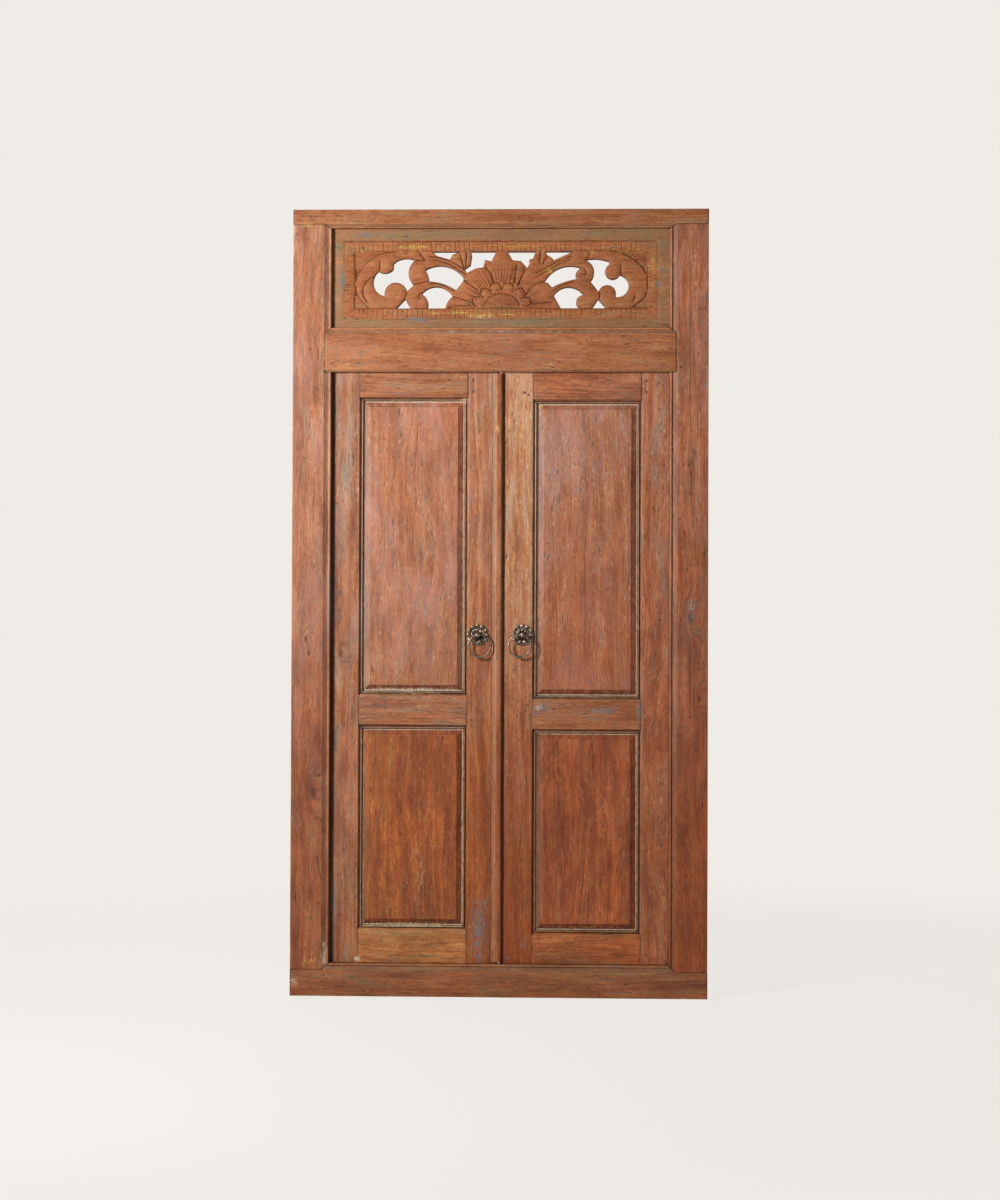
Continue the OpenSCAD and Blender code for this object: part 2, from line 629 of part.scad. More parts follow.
// Screws of one hinge plate, into the jamb (way = 1) or the leaf (way = -1)
module screw_rods(z, way, r, length) {
    for (t = screw_at)
        translate([gap_mid + way * plate_off, screw_y, z + t * hinge_l]) rotate([0, way * 90, 0])
            cylinder(r = r, h = length);
}
module screw_heads(z, way, grow) {
    for (t = screw_at)
        translate([gap_mid + way * plate_off, screw_y, z + t * hinge_l]) rotate([0, way * 90, 0])
            cylinder(r1 = screw_head_r + grow, r2 = screw_r + grow, h = plate_t);
}
module screws(way) {
    color(iron) for (z = hinge_z) {
        screw_rods(z, way, screw_r, screw_l);
        screw_heads(z, way, 0);
    }
}
// One half of a hinge, with the knuckles whose number is even (way = 1) or odd (way = -1)
module hinge_half(h, way) {
    z0 = hinge_z[h] - hinge_l / 2;
    step = hinge_l / knuckle_n;
    plate_x = way > 0 ? [gap_mid + plate_off, gap_mid + plate_off + plate_t]
        : [gap_mid - plate_off - plate_t, gap_mid - plate_off];
    color(iron) difference() {
        union() {
            block(plate_x, [back - plate_w, knuckle_y - knuckle_r - knuckle_gap], [z0, z0 + hinge_l]);
            for (k = [0:knuckle_n - 1]) if ((k % 2 == 0) == (way > 0)) {
                z = [z0 + k * step + (k > 0 ? knuckle_gap / 2 : 0),
                    z0 + (k + 1) * step - (k < knuckle_n - 1 ? knuckle_gap / 2 : 0)];
                block(plate_x, [back - plate_w, knuckle_y], z);
                translate([gap_mid, knuckle_y, z[0]]) cylinder(r = knuckle_r, h = z[1] - z[0]);
            }
        }
        translate([gap_mid, knuckle_y, z0 - 1]) cylinder(r = pin_r + fit, h = hinge_l + 2);
        screw_rods(hinge_z[h], way, screw_r + slack, plate_t + 1);
        screw_heads(hinge_z[h], way, slack / 2);
    }
}
module hinge_pin(h) {
    z0 = hinge_z[h] - hinge_l / 2;
    color(iron) translate([gap_mid, knuckle_y, z0]) {
        translate([0, 0, -1.5]) cylinder(r = pin_r, h = hinge_l + 3);
        translate([0, 0, hinge_l + slack]) cylinder(r1 = knuckle_r - 0.5, r2 = knuckle_r - 1.5, h = 2.5);
        translate([0, 0, -2.5 - slack]) cylinder(r1 = knuckle_r - 1.5, r2 = knuckle_r - 0.5, h = 2.5);
    }
}

function side_of(i, name) = str(SIDES[i], "_", name);

sill();
head();
on_side(0) jamb(0);  // left_jamb
on_side(1) jamb(1);  // right_jamb
transom_rail();
carved_panel();
frame_pegs();
on_side(0) cover_strip();
on_side(0) strip_nails();
for (i = [0, 1]) {
    on_side(i) hinge_stile(i);
    on_side(i) meeting_stile(i);
    on_side(i) rail(i, "top");
    on_side(i) rail(i, "mid");
    on_side(i) rail(i, "bottom");
    on_side(i) raised_panel(i, "upper");
    on_side(i) raised_panel(i, "lower");
    on_side(i) leaf_pegs(i);
    on_side(i) rosette(i);
    on_side(i) ring_eye(i);
    on_side(i) ring(i);
    on_side(i) eye_washer(i);
    on_side(i) eye_nut(i);
    on_side(i) screws(1);
    on_side(i) screws(-1);
    for (h = [0, 1]) {
        on_side(i) hinge_half(h, 1);
        on_side(i) hinge_half(h, -1);
        on_side(i) hinge_pin(h);
    }
}
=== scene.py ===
import math

import bmesh
import bpy
import numpy as np
from mathutils.geometry import delaunay_2d_cdt
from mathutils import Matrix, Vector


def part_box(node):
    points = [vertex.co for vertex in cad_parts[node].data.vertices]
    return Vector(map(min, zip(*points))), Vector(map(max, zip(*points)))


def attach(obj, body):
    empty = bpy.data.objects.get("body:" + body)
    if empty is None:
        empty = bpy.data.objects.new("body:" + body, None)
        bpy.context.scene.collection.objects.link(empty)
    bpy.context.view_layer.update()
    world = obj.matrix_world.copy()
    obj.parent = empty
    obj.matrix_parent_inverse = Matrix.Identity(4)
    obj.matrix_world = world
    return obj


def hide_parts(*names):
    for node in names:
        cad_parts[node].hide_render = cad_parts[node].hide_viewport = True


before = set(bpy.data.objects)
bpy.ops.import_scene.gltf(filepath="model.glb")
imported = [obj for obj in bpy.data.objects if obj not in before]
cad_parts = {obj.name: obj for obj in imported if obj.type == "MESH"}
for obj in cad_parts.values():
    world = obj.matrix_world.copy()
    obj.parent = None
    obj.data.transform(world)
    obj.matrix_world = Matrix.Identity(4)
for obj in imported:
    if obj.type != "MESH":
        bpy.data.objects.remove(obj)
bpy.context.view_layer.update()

mm = 0.001


def span(node, axis, less=0.0):
    # where a part of the frame model starts and ends (axis 0 across, 1 deep, 2 up), less a moulding
    low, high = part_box(node)
    return round(low[axis] + less, 5), round(high[axis] - less, 5)


view = {
    "place": (0.206, -6.04, 0.968),
    "pitch": 0.84,      # degrees up from level
    "yaw": 1.94,        # degrees towards the left leaf
    "roll": -0.21,
    "lens": 67.8,
}
studio = {
    "paper": (0.863, 0.838, 0.799),   # pale warm grey behind and under the door
    "ambient": 0.17,
    "keyPlace": (-2.05, -2.25, 1.95),
    "keyWatts": 145,
    "keySize": 0.62,
    "fillPlace": (3.3, -3.6, 1.5),
    "fillWatts": 9,
    "fillSize": 2.2,
    "backPlace": (-1.6, 3.6, 2.3),
    "backWatts": 70,
    "backSize": 2.4,
    "floorRadius": 3.2,
    "floorShade": 0.07,               # share of the paper colour that takes shadows
    "floorGlow": 0.905,
}

cameraData = bpy.data.cameras.new("camera")
cameraData.lens = view["lens"]
cameraData.sensor_width = 36
camera = bpy.data.objects.new("camera", cameraData)
camera.location = view["place"]
camera.rotation_euler = [math.radians(a) for a in (90 + view["pitch"], view["roll"], view["yaw"])]
bpy.context.scene.collection.objects.link(camera)
bpy.context.scene.camera = camera
bpy.context.scene.view_settings.view_transform = "Standard"
bpy.context.scene.view_settings.look = "None"


def addLight(name, place, watts, size, colour):
    # a square soft light, aimed at the middle of the door
    data = bpy.data.lights.new(name, "AREA")
    data.energy = watts
    data.size = size
    data.color = colour
    lamp = bpy.data.objects.new(name, data)
    lamp.location = place
    aim = np.array((0, 0, 1.05)) - np.array(place)
    lamp.rotation_euler = (math.atan2(math.hypot(aim[0], aim[1]), -aim[2]), 0,
                           math.atan2(aim[1], aim[0]) - math.pi / 2)
    bpy.context.scene.collection.objects.link(lamp)


addLight("key", studio["keyPlace"], studio["keyWatts"], studio["keySize"], (1.0, 0.975, 0.94))
addLight("fill", studio["fillPlace"], studio["fillWatts"], studio["fillSize"], (1.0, 0.96, 0.92))
addLight("back", studio["backPlace"], studio["backWatts"], studio["backSize"], (1.0, 0.97, 0.94))


# short names for the shader nodes used below
def addNode(tree, kind, inputs=None, **settings):
    made = tree.nodes.new(kind)
    for key, value in settings.items():
        setattr(made, key, value)
    for key, value in (inputs or {}).items():
        if isinstance(value, bpy.types.NodeSocket):
            tree.links.new(value, made.inputs[key])
        else:
            made.inputs[key].default_value = value
    return made


def maths(tree, operation, a, b=None, c=None):
    values = {i: v for i, v in enumerate((a, b, c)) if v is not None}
    return addNode(tree, "ShaderNodeMath", values, operation=operation).outputs[0]


def clamped(tree, value, low, high, toLow=0.0, toHigh=1.0):
    sockets = {"Value": value, "From Min": low, "From Max": high, "To Min": toLow, "To Max": toHigh}
    return addNode(tree, "ShaderNodeMapRange", sockets, interpolation_type="SMOOTHSTEP").outputs[0]


def noise(tree, vector, scale, detail=2.0, rough=0.5):
    sockets = {"Vector": vector, "Scale": scale, "Detail": detail, "Roughness": rough}
    return addNode(tree, "ShaderNodeTexNoise", sockets).outputs[0]


def stretched(tree, vector, across, along, shift=0.0):
    sockets = {"Vector": vector, "Scale": (across, across, along),
               "Location": (shift, shift * 0.7, shift * 1.3)}
    return addNode(tree, "ShaderNodeMapping", sockets).outputs[0]


def mixed(tree, factor, a, b, blend="MIX"):
    made = addNode(tree, "ShaderNodeMix", {0: factor, 6: a, 7: b}, data_type="RGBA", blend_type=blend)
    return made.outputs[2]


def rgb(colour):
    return (colour[0], colour[1], colour[2], 1.0)


def newMaterial(name):
    material = bpy.data.materials.new(name)
    material.use_nodes = True
    tree = material.node_tree
    tree.nodes.clear()
    surface = addNode(tree, "ShaderNodeBsdfPrincipled")
    addNode(tree, "ShaderNodeOutputMaterial", {"Surface": surface.outputs[0]})
    return material, tree, surface


def makeFloor():
    # a disc of paper that fades into the pale background
    bm = bmesh.new()
    bmesh.ops.create_circle(bm, cap_ends=True, radius=studio["floorRadius"], segments=96)
    data = bpy.data.meshes.new("floor")
    bm.to_mesh(data)
    bm.free()
    floor = bpy.data.objects.new("floor", data)
    bpy.context.scene.collection.objects.link(floor)
    material, tree, surface = newMaterial("floor_paper")
    surface.inputs["Base Color"].default_value = rgb([studio["floorShade"] * c for c in studio["paper"]])
    surface.inputs["Roughness"].default_value = 0.9
    surface.inputs["Specular IOR Level"].default_value = 0.1
    surface.inputs["Emission Color"].default_value = rgb(studio["paper"])
    surface.inputs["Emission Strength"].default_value = studio["floorGlow"]
    place = addNode(tree, "ShaderNodeTexCoord").outputs["Object"]
    far = addNode(tree, "ShaderNodeVectorMath", {0: place}, operation="LENGTH").outputs["Value"]
    fade = clamped(tree, far, 0.5 * studio["floorRadius"], 0.98 * studio["floorRadius"], 1.0, 0.0)
    tree.links.new(fade, surface.inputs["Alpha"])
    data.materials.append(material)


def makeWorld():
    # the background shows as pale paper but lights the door only weakly
    world = bpy.data.worlds.new("studio")
    bpy.context.scene.world = world
    world.use_nodes = True
    tree = world.node_tree
    tree.nodes.clear()
    seen = addNode(tree, "ShaderNodeLightPath").outputs["Is Camera Ray"]
    glow = maths(tree, "MULTIPLY_ADD", seen, 1.0 - studio["ambient"], studio["ambient"])
    paper = addNode(tree, "ShaderNodeBackground", {"Color": rgb(studio["paper"]), "Strength": glow})
    addNode(tree, "ShaderNodeOutputWorld", {"Surface": paper.outputs[0]})


makeFloor()
makeWorld()
print("studio made: camera, three lights, floor")


# smooth noise on points, the same on each run
noiseTable = np.random.RandomState(11).rand(4096)


def lumps(points, size, seed=0.0):
    # 0 to 1, with lumps of about the given size
    p = np.asarray(points, float) / np.asarray(size, float) + seed * 17.31
    cell = np.floor(p).astype(np.int64)
    f = p - cell
    f = f * f * (3 - 2 * f)
    total = 0.0
    for corner in np.ndindex(2, 2, 2):
        at = cell + np.array(corner)
        spot = (at[..., 0] * 73856093) ^ (at[..., 1] * 19349663) ^ (at[..., 2] * 83492791)
        weight = np.prod(np.where(np.array(corner) == 1, f, 1 - f), axis=-1)
        total = total + noiseTable[spot % 4096] * weight
    return total


# old paint left on the wood
# each patch: (x, z, half width, half height, strength) in mm, door seen from the front
paintLeft = {
    "blue": [
        (-355, 2033, 26, 7, 1.0), (-424, 1914, 10, 34, 0.9), (-226, 1806, 40, 7, 1.1),
        (-330, 2036, 60, 10, 0.5), (420, 1900, 12, 14, 0.8), (432, 1940, 10, 10, 0.8),
        (250, 2036, 70, 9, 0.4), (40, 1798, 160, 9, 0.5), (-440, 1850, 12, 30, 0.5),
        (440, 1990, 12, 30, 0.5), (0, 2040, 300, 10, 0.35), (-430, 1050, 16, 110, 0.45),
        (-452, 1060, 6, 140, 0.8), (-440, 700, 12, 60, 0.4), (-54, 180, 24, 95, 0.75),
        (-52, 106, 12, 10, 1.0), (-40, 240, 14, 40, 0.6), (66, 138, 6, 18, 0.8), (34, 215, 6, 7, 0.9),
        (25, 103, 7, 7, 0.9), (287, 764, 34, 9, 1.0), (112, 768, 26, 12, 0.9), (375, 760, 8, 30, 1.0),
        (260, 745, 26, 6, 0.7), (-470, 500, 4, 220, 0.3), (-470, 1200, 4, 240, 0.3),
        (470, 700, 4, 260, 0.4), (470, 1350, 4, 200, 0.5), (508, 1028, 12, 34, 0.8),
        (492, 980, 6, 40, 0.5), (-496, 600, 20, 60, 0.35), (-440, 250, 10, 60, 0.7),
        (-470, 1900, 4, 120, 0.5), (470, 1900, 4, 120, 0.5), (0, 1770, 440, 3, 0.75),
        (-300, 95, 40, 8, 0.5), (-500, 985, 12, 30, 0.35), (300, 88, 60, 6, 0.5),
        (-390, 723, 60, 8, 0.4), (390, 712, 60, 8, 0.45),
    ],
    "yellow": [
        (0, 2001, 420, 12, 0.30), (0, 1824, 420, 10, 0.26), (408, 1960, 14, 34, 0.6),
        (150, 1975, 18, 8, 0.8), (-120, 1975, 26, 5, 0.6), (240, 1985, 24, 5, 0.7),
        (-380, 1990, 22, 8, 0.5), (-235, 2001, 50, 9, 0.8), (-112, 1825, 34, 4, 0.9),
        (-50, 1818, 44, 4, 0.95), (-178, 1824, 22, 5, 0.8), (20, 1820, 30, 3, 0.8),
        (-505, 90, 24, 22, 0.45), (-520, 2058, 20, 8, 0.8), (500, 1760, 10, 60, 0.35),
        (150, 1790, 60, 3, 0.5), (408, 1910, 12, 60, 0.35), (330, 1990, 60, 8, 0.5),
        (105, 1578, 7, 7, 1.1), (-5, 1512, 5, 12, 1.0), (130, 1938, 12, 8, 0.8),
        (-240, 192, 110, 4, 0.7), (220, 184, 110, 4, 0.4), (-320, 1850, 30, 6, 0.4),
        (40, 2004, 90, 7, 0.6), (80, 1822, 60, 6, 0.4), (-215, 815, 110, 3, 0.5),
        (-300, 560, 12, 30, 0.3), (250, 560, 12, 24, 0.3),
    ],
    "white": [
        (-94, 1590, 8, 8, 1.2), (-240, 817, 120, 3.5, 0.85), (-220, 186, 130, 3, 0.8),
        (-376, 98, 8, 8, 1.2), (-230, 808, 120, 5, 0.5), (230, 797, 120, 4, 0.5),
        (-52, 1813, 34, 2.5, 0.8), (104, 772, 10, 10, 0.7), (220, 1400, 60, 110, 0.28),
        (-200, 1300, 60, 90, 0.2), (0, 1772, 420, 2.5, 0.5), (-380, 500, 10, 240, 0.25),
        (-510, 1120, 44, 330, 0.16), (-545, 40, 16, 12, 0.6), (510, 1040, 8, 26, 0.5),
        (-225, 450, 110, 230, 0.16), (-215, 330, 16, 110, 0.30), (530, 300, 12, 120, 0.2),
        (-464, 110, 8, 34, 0.7), (-90, 1350, 5, 90, 0.3), (90, 1200, 5, 110, 0.3),
    ],
}


def paintOn(points):
    out = np.zeros((len(points), 4), np.float32)
    across = points[:, 0] / mm
    up = points[:, 2] / mm
    for channel, kind in enumerate(("blue", "yellow", "white")):
        for x, z, wide, high, strength in paintLeft[kind]:
            far = np.hypot((across - x) / (1.35 * wide), (up - z) / (1.35 * high))
            out[:, channel] = np.maximum(out[:, channel], strength * np.clip(1.25 - far, 0, 1))
    out *= (points[:, 1] < 2 * mm)[:, None]      # only on the front
    out[:, 3] = 1
    return out


# A piece is made from shells: (points, faces, worn, shade and grime, more). worn is 1 on arrises; shade and
# grime is
# 1 in quirks and joints, where shade and grime are painted; more may hold grey (greyed wood, and painted
# light on lit sides), deep (painted shade on panel bevels facing away from the light) and white (old paint)
def moulding(width, drop, inFrame, steps=16):
    # from the sight edge to the face, as (distance from the edge, depth behind the face)
    turn = [math.pi * i / steps for i in range(steps + 1)]
    bead = [(0.23 * width * (1 - math.cos(a)), drop * (1 - 0.72 * math.sin(a))) for a in turn]
    if inFrame:
        return bead[:-2] + [(0.50 * width, 0.72 * drop), (0.60 * width, 0.60 * drop),
                            (0.80 * width, 0.34 * drop), (0.93 * width, 0.18 * drop), (width, 0.05 * drop)]
    return bead + [(0.56 * width, 0.95 * drop), (0.64 * width, 0.86 * drop), (0.93 * width, 0.55 * drop),
                   (0.975 * width, 0.3 * drop), (width, 0.06 * drop)]


def roundedSection(corners, cut, places):
    # corners are (across, depth, share of cut); cut has one rounding distance for each ring
    count = len(corners)
    flat = np.array([c[:2] for c in corners], float)
    tracks = []
    for i in range(count):
        here, before, after = flat[i], flat[i - 1], flat[(i + 1) % count]
        share = corners[i][2]
        if share == 0:
            tracks.append((np.repeat(here[None], len(places), 0), 0.0))
            continue
        toBefore, toAfter = before - here, after - here
        longest = 0.45 * min(np.linalg.norm(toBefore), np.linalg.norm(toAfter))
        reach = np.minimum(cut[:, i] * share, longest)[:, None]
        a = here + toBefore / np.linalg.norm(toBefore) * reach
        b = here + toAfter / np.linalg.norm(toAfter) * reach
        for s in (0.0, 0.25, 0.5, 0.75, 1.0):
            mark = 1.0 if 0 < s < 1 else 0.55
            tracks.append(((1 - s) ** 2 * a + 2 * s * (1 - s) * here + s ** 2 * b, mark))
    full, worn = [], []
    for i, (track, mark) in enumerate(tracks):
        nextTrack = tracks[(i + 1) % len(tracks)][0]
        gap = np.linalg.norm(nextTrack[0] - track[0])
        pieces = max(1, int(round(gap / (9 * mm))))
        for k in range(pieces):
            full.append(track + (nextTrack - track) * (k / pieces))
            worn.append(mark if k == 0 else 0.0)
    return np.stack(full, 1), np.array(worn)


def loft(corners, startAt, endAt, along, seed, cut=1.3 * mm, chips=1.0, step=8 * mm, sunk=None,
         wave=0.22 * mm):
    # corners run round the section; startAt and endAt give the two ends for each distance across
    across = [c[0] for c in corners]
    low = min(startAt(u) for u in across)
    high = max(endAt(u) for u in across)
    rings = max(4, int(round((high - low) / step)))
    edge = 0.7 * mm / (high - low)
    share = np.concatenate([[0, edge], np.linspace(0, 1, rings + 1)[1:-1], [1 - edge, 1]])
    places = low + share * (high - low)
    spots = np.zeros((len(places), len(corners), 3))
    for i, c in enumerate(corners):
        spots[:, i, 0] = places
        spots[:, i, 1] = c[0]
        spots[:, i, 2] = c[1]
    soft = lumps(spots, 0.11, seed)
    fine = lumps(spots, 0.023, seed + 3)
    chip = np.clip(lumps(spots, 0.034, seed + 9) - 0.80, 0, 1) / 0.20
    cuts = cut * (0.55 + 0.9 * soft + 0.35 * fine) + chips * 3.2 * mm * chip
    section, worn = roundedSection(corners, cuts, places)
    count = section.shape[1]
    middle = section.mean(1, keepdims=True)
    inset = np.ones(len(places))
    inset[[0, -1]] = 0
    half = (section.max(1, keepdims=True) - section.min(1, keepdims=True)) / 2
    section = np.where(inset[:, None, None] == 0, middle + (section - middle) * (1 - 0.45 * mm / half),
                       section)
    starts = np.vectorize(startAt)(section[..., 0])
    ends = np.vectorize(endAt)(section[..., 0])
    run = starts + share[:, None] * (ends - starts)
    points = np.zeros((len(places), count, 3))
    points[..., along] = run
    points[..., 2 - along] = section[..., 0]
    points[..., 1] = section[..., 1]
    # the surface dips a little here and there, never outwards
    tangent = np.roll(section, -1, 1) - np.roll(section, 1, 1)
    area = np.sum(section[1, :, 0] * np.roll(section[1, :, 1], -1)
                  - np.roll(section[1, :, 0], -1) * section[1, :, 1])
    normal = np.stack([tangent[..., 1], -tangent[..., 0]], -1) * np.sign(area)
    normal /= np.maximum(np.linalg.norm(normal, axis=-1, keepdims=True), 1e-9)
    size = np.where(np.arange(3) == along, 0.19, 0.045)
    dip = wave * lumps(points, size, seed + 21) + 0.35 * wave * lumps(points, size / 5, seed + 27)
    points[..., 2 - along] -= normal[..., 0] * dip
    points[..., 1] -= normal[..., 1] * dip
    deep = np.zeros((len(places), count))
    if sunk is not None:
        deep = np.vectorize(sunk)(section[..., 0], section[..., 1])
    # darker within 6 mm of the ends: painted shade and grime where the member meets the next
    nearEnd = np.minimum(share, 1 - share) * (high - low)
    deep = np.maximum(deep, np.clip(1 - nearEnd / (6 * mm), 0, 1)[:, None] * 0.8)
    marks = np.repeat(worn[None], len(places), 0) * (0.5 + 0.8 * fine.mean(1, keepdims=True))
    faces = []
    for j in range(len(places) - 1):
        for i in range(count):
            k = (i + 1) % count
            faces.append((j * count + i, j * count + k, (j + 1) * count + k, (j + 1) * count + i))
    faces.append(tuple(range(count)))
    faces.append(tuple(range((len(places) - 1) * count, len(places) * count)))
    return points.reshape(-1, 3), faces, marks.reshape(-1), deep.reshape(-1)


def bar(across, depth, ends, along, seed, cuts=(1, 1, 1, 1), **more):
    # a plain squared bar; cuts are for its corners low-front, high-front, high-back, low-back
    corners = [(across[0], depth[0], cuts[0]), (across[1], depth[0], cuts[1]),
               (across[1], depth[1], cuts[2]), (across[0], depth[1], cuts[3])]
    return loft(corners, lambda u: ends[0], lambda u: ends[1], along, seed, **more)


def mouldStrip(sight, shoulder, faceDepth, drop, behind, starts, ends, along, seed, inFrame=False):
    # a moulded strip between the sight edge and the shoulder; behind is the rest of its section;
    # starts and ends: (at the sight edge, at the shoulder)
    way = 1 if shoulder > sight else -1
    width = abs(shoulder - sight)
    front = [(sight + way * w, faceDepth + d, 0) for w, d in moulding(width, drop, inFrame)]
    corners = front + [(u, v, 0.0) for u, v in behind]

    def startAt(u):
        return starts[0] + (starts[1] - starts[0]) * min(max(way * (u - sight) / width, 0), 1)

    def endAt(u):
        return ends[0] + (ends[1] - ends[0]) * min(max(way * (u - sight) / width, 0), 1)

    # painted shade and grime: darkest in the hollow and along the sight edge
    def sunk(u, v):
        inFront = v < faceDepth + 1.05 * drop
        valley = 1 - abs(way * (u - sight) / width - 0.60) / 0.26
        edge = 0.9 - way * (u - sight) / (0.10 * width)
        if inFrame:
            valley *= 0.22
        return max(0.0, min(1.0, max(valley, edge))) if inFront else 0.2

    points, faces, worn, dark = loft(corners, startAt, endAt, along, seed, chips=0, sunk=sunk,
                                     wave=0.3 * mm)
    share = way * (points[:, 0 if along == 2 else 2] - sight) / width
    shown = points[:, 1] < faceDepth + 1.05 * drop
    bead = np.clip(1.25 - np.abs(share - 0.24) / 0.2, 0, 1) * shown
    valley = np.clip(1.2 - np.abs(share - 0.72) / 0.25, 0, 1) * shown
    if inFrame:                     # rubbed bright along the bead, grey in the hollow
        return points, faces, np.maximum(worn, 0.9 * bead), dark, {"dull": valley}
    return points, faces, worn, dark, {"dull": 1.2 * bead, "white": 0.28 * bead}


def makePiece(name, shells, body, material, replaced, sharp=35):
    # one mesh from its shells, with the wear and the paint stored on its points
    points, faces, worn, sunk, dull, deep, white = [], [], [], [], [], [], []
    start = 0
    for shell in shells:
        points.append(shell[0])
        faces += [tuple(v + start for v in face) for face in shell[1]]
        worn.append(shell[2])
        sunk.append(shell[3])
        extra = shell[4] if len(shell) > 4 else {}
        for kind, store in (("dull", dull), ("deep", deep), ("white", white)):
            store.append(extra.get(kind, np.zeros(len(shell[0]))))
        start += len(shell[0])
    points = np.concatenate(points)
    data = bpy.data.meshes.new(name)
    data.from_pydata(points.tolist(), [], faces)
    bm = bmesh.new()
    bm.from_mesh(data)
    bmesh.ops.recalc_face_normals(bm, faces=bm.faces)
    bm.to_mesh(data)
    bm.free()
    state = np.zeros((len(points), 4), np.float32)
    state[:, 0] = np.concatenate(worn)
    state[:, 1] = np.concatenate(sunk)
    state[:, 2] = np.concatenate(dull)
    state[:, 3] = np.concatenate(deep)
    paint = paintOn(points)
    paint[:, 2] = np.maximum(paint[:, 2], np.concatenate(white))
    for label, values in (("state", state), ("paint", paint)):
        layer = data.attributes.new(label, "FLOAT_COLOR", "POINT")
        layer.data.foreach_set("color", np.clip(values, 0, 2).astype(np.float32).reshape(-1))
    data.shade_smooth()
    data.set_sharp_from_angle(angle=math.radians(sharp))
    data.materials.append(material)
    piece = bpy.data.objects.new(name, data)
    bpy.context.scene.collection.objects.link(piece)
    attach(piece, body)
    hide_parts(*replaced)
    return piece


teak = {
    "dark": (0.200, 0.050, 0.018),
    "mid": (0.430, 0.135, 0.050),
    "pale": (0.620, 0.250, 0.100),
    "pink": (0.520, 0.225, 0.160),      # washed-out wood
    "grey": (0.285, 0.215, 0.160),      # weathered wood
    "plum": (0.270, 0.105, 0.080),      # darker heart wood
    # painted shade and grime in hollows and joints
    "shadeGrimeColour": (0.042, 0.017, 0.009),
    "pit": (0.110, 0.038, 0.020),
    "bare": (0.640, 0.330, 0.185),      # freshly worn arrises
    "fleck": (0.740, 0.500, 0.340),     # scuffs and filler dust
    "slate": (0.215, 0.185, 0.165),     # grey-blue weathering in small streaks
    "crack": (0.045, 0.017, 0.010),
    "bevelShade": (0.36, 0.180, 0.095),        # painted shade on the panel bevels facing away from the light
    "blue": (0.085, 0.140, 0.160),
    "yellow": (0.560, 0.405, 0.080),
    "white": (0.700, 0.620, 0.460),
    "ring": 3.6 * mm,                   # distance between growth rings
    "bumpDepth": 0.5 * mm,
    "footShade": (0.80, 0.62, 0.44),     # painted shade: the wood is drawn darker and redder towards the foot
}


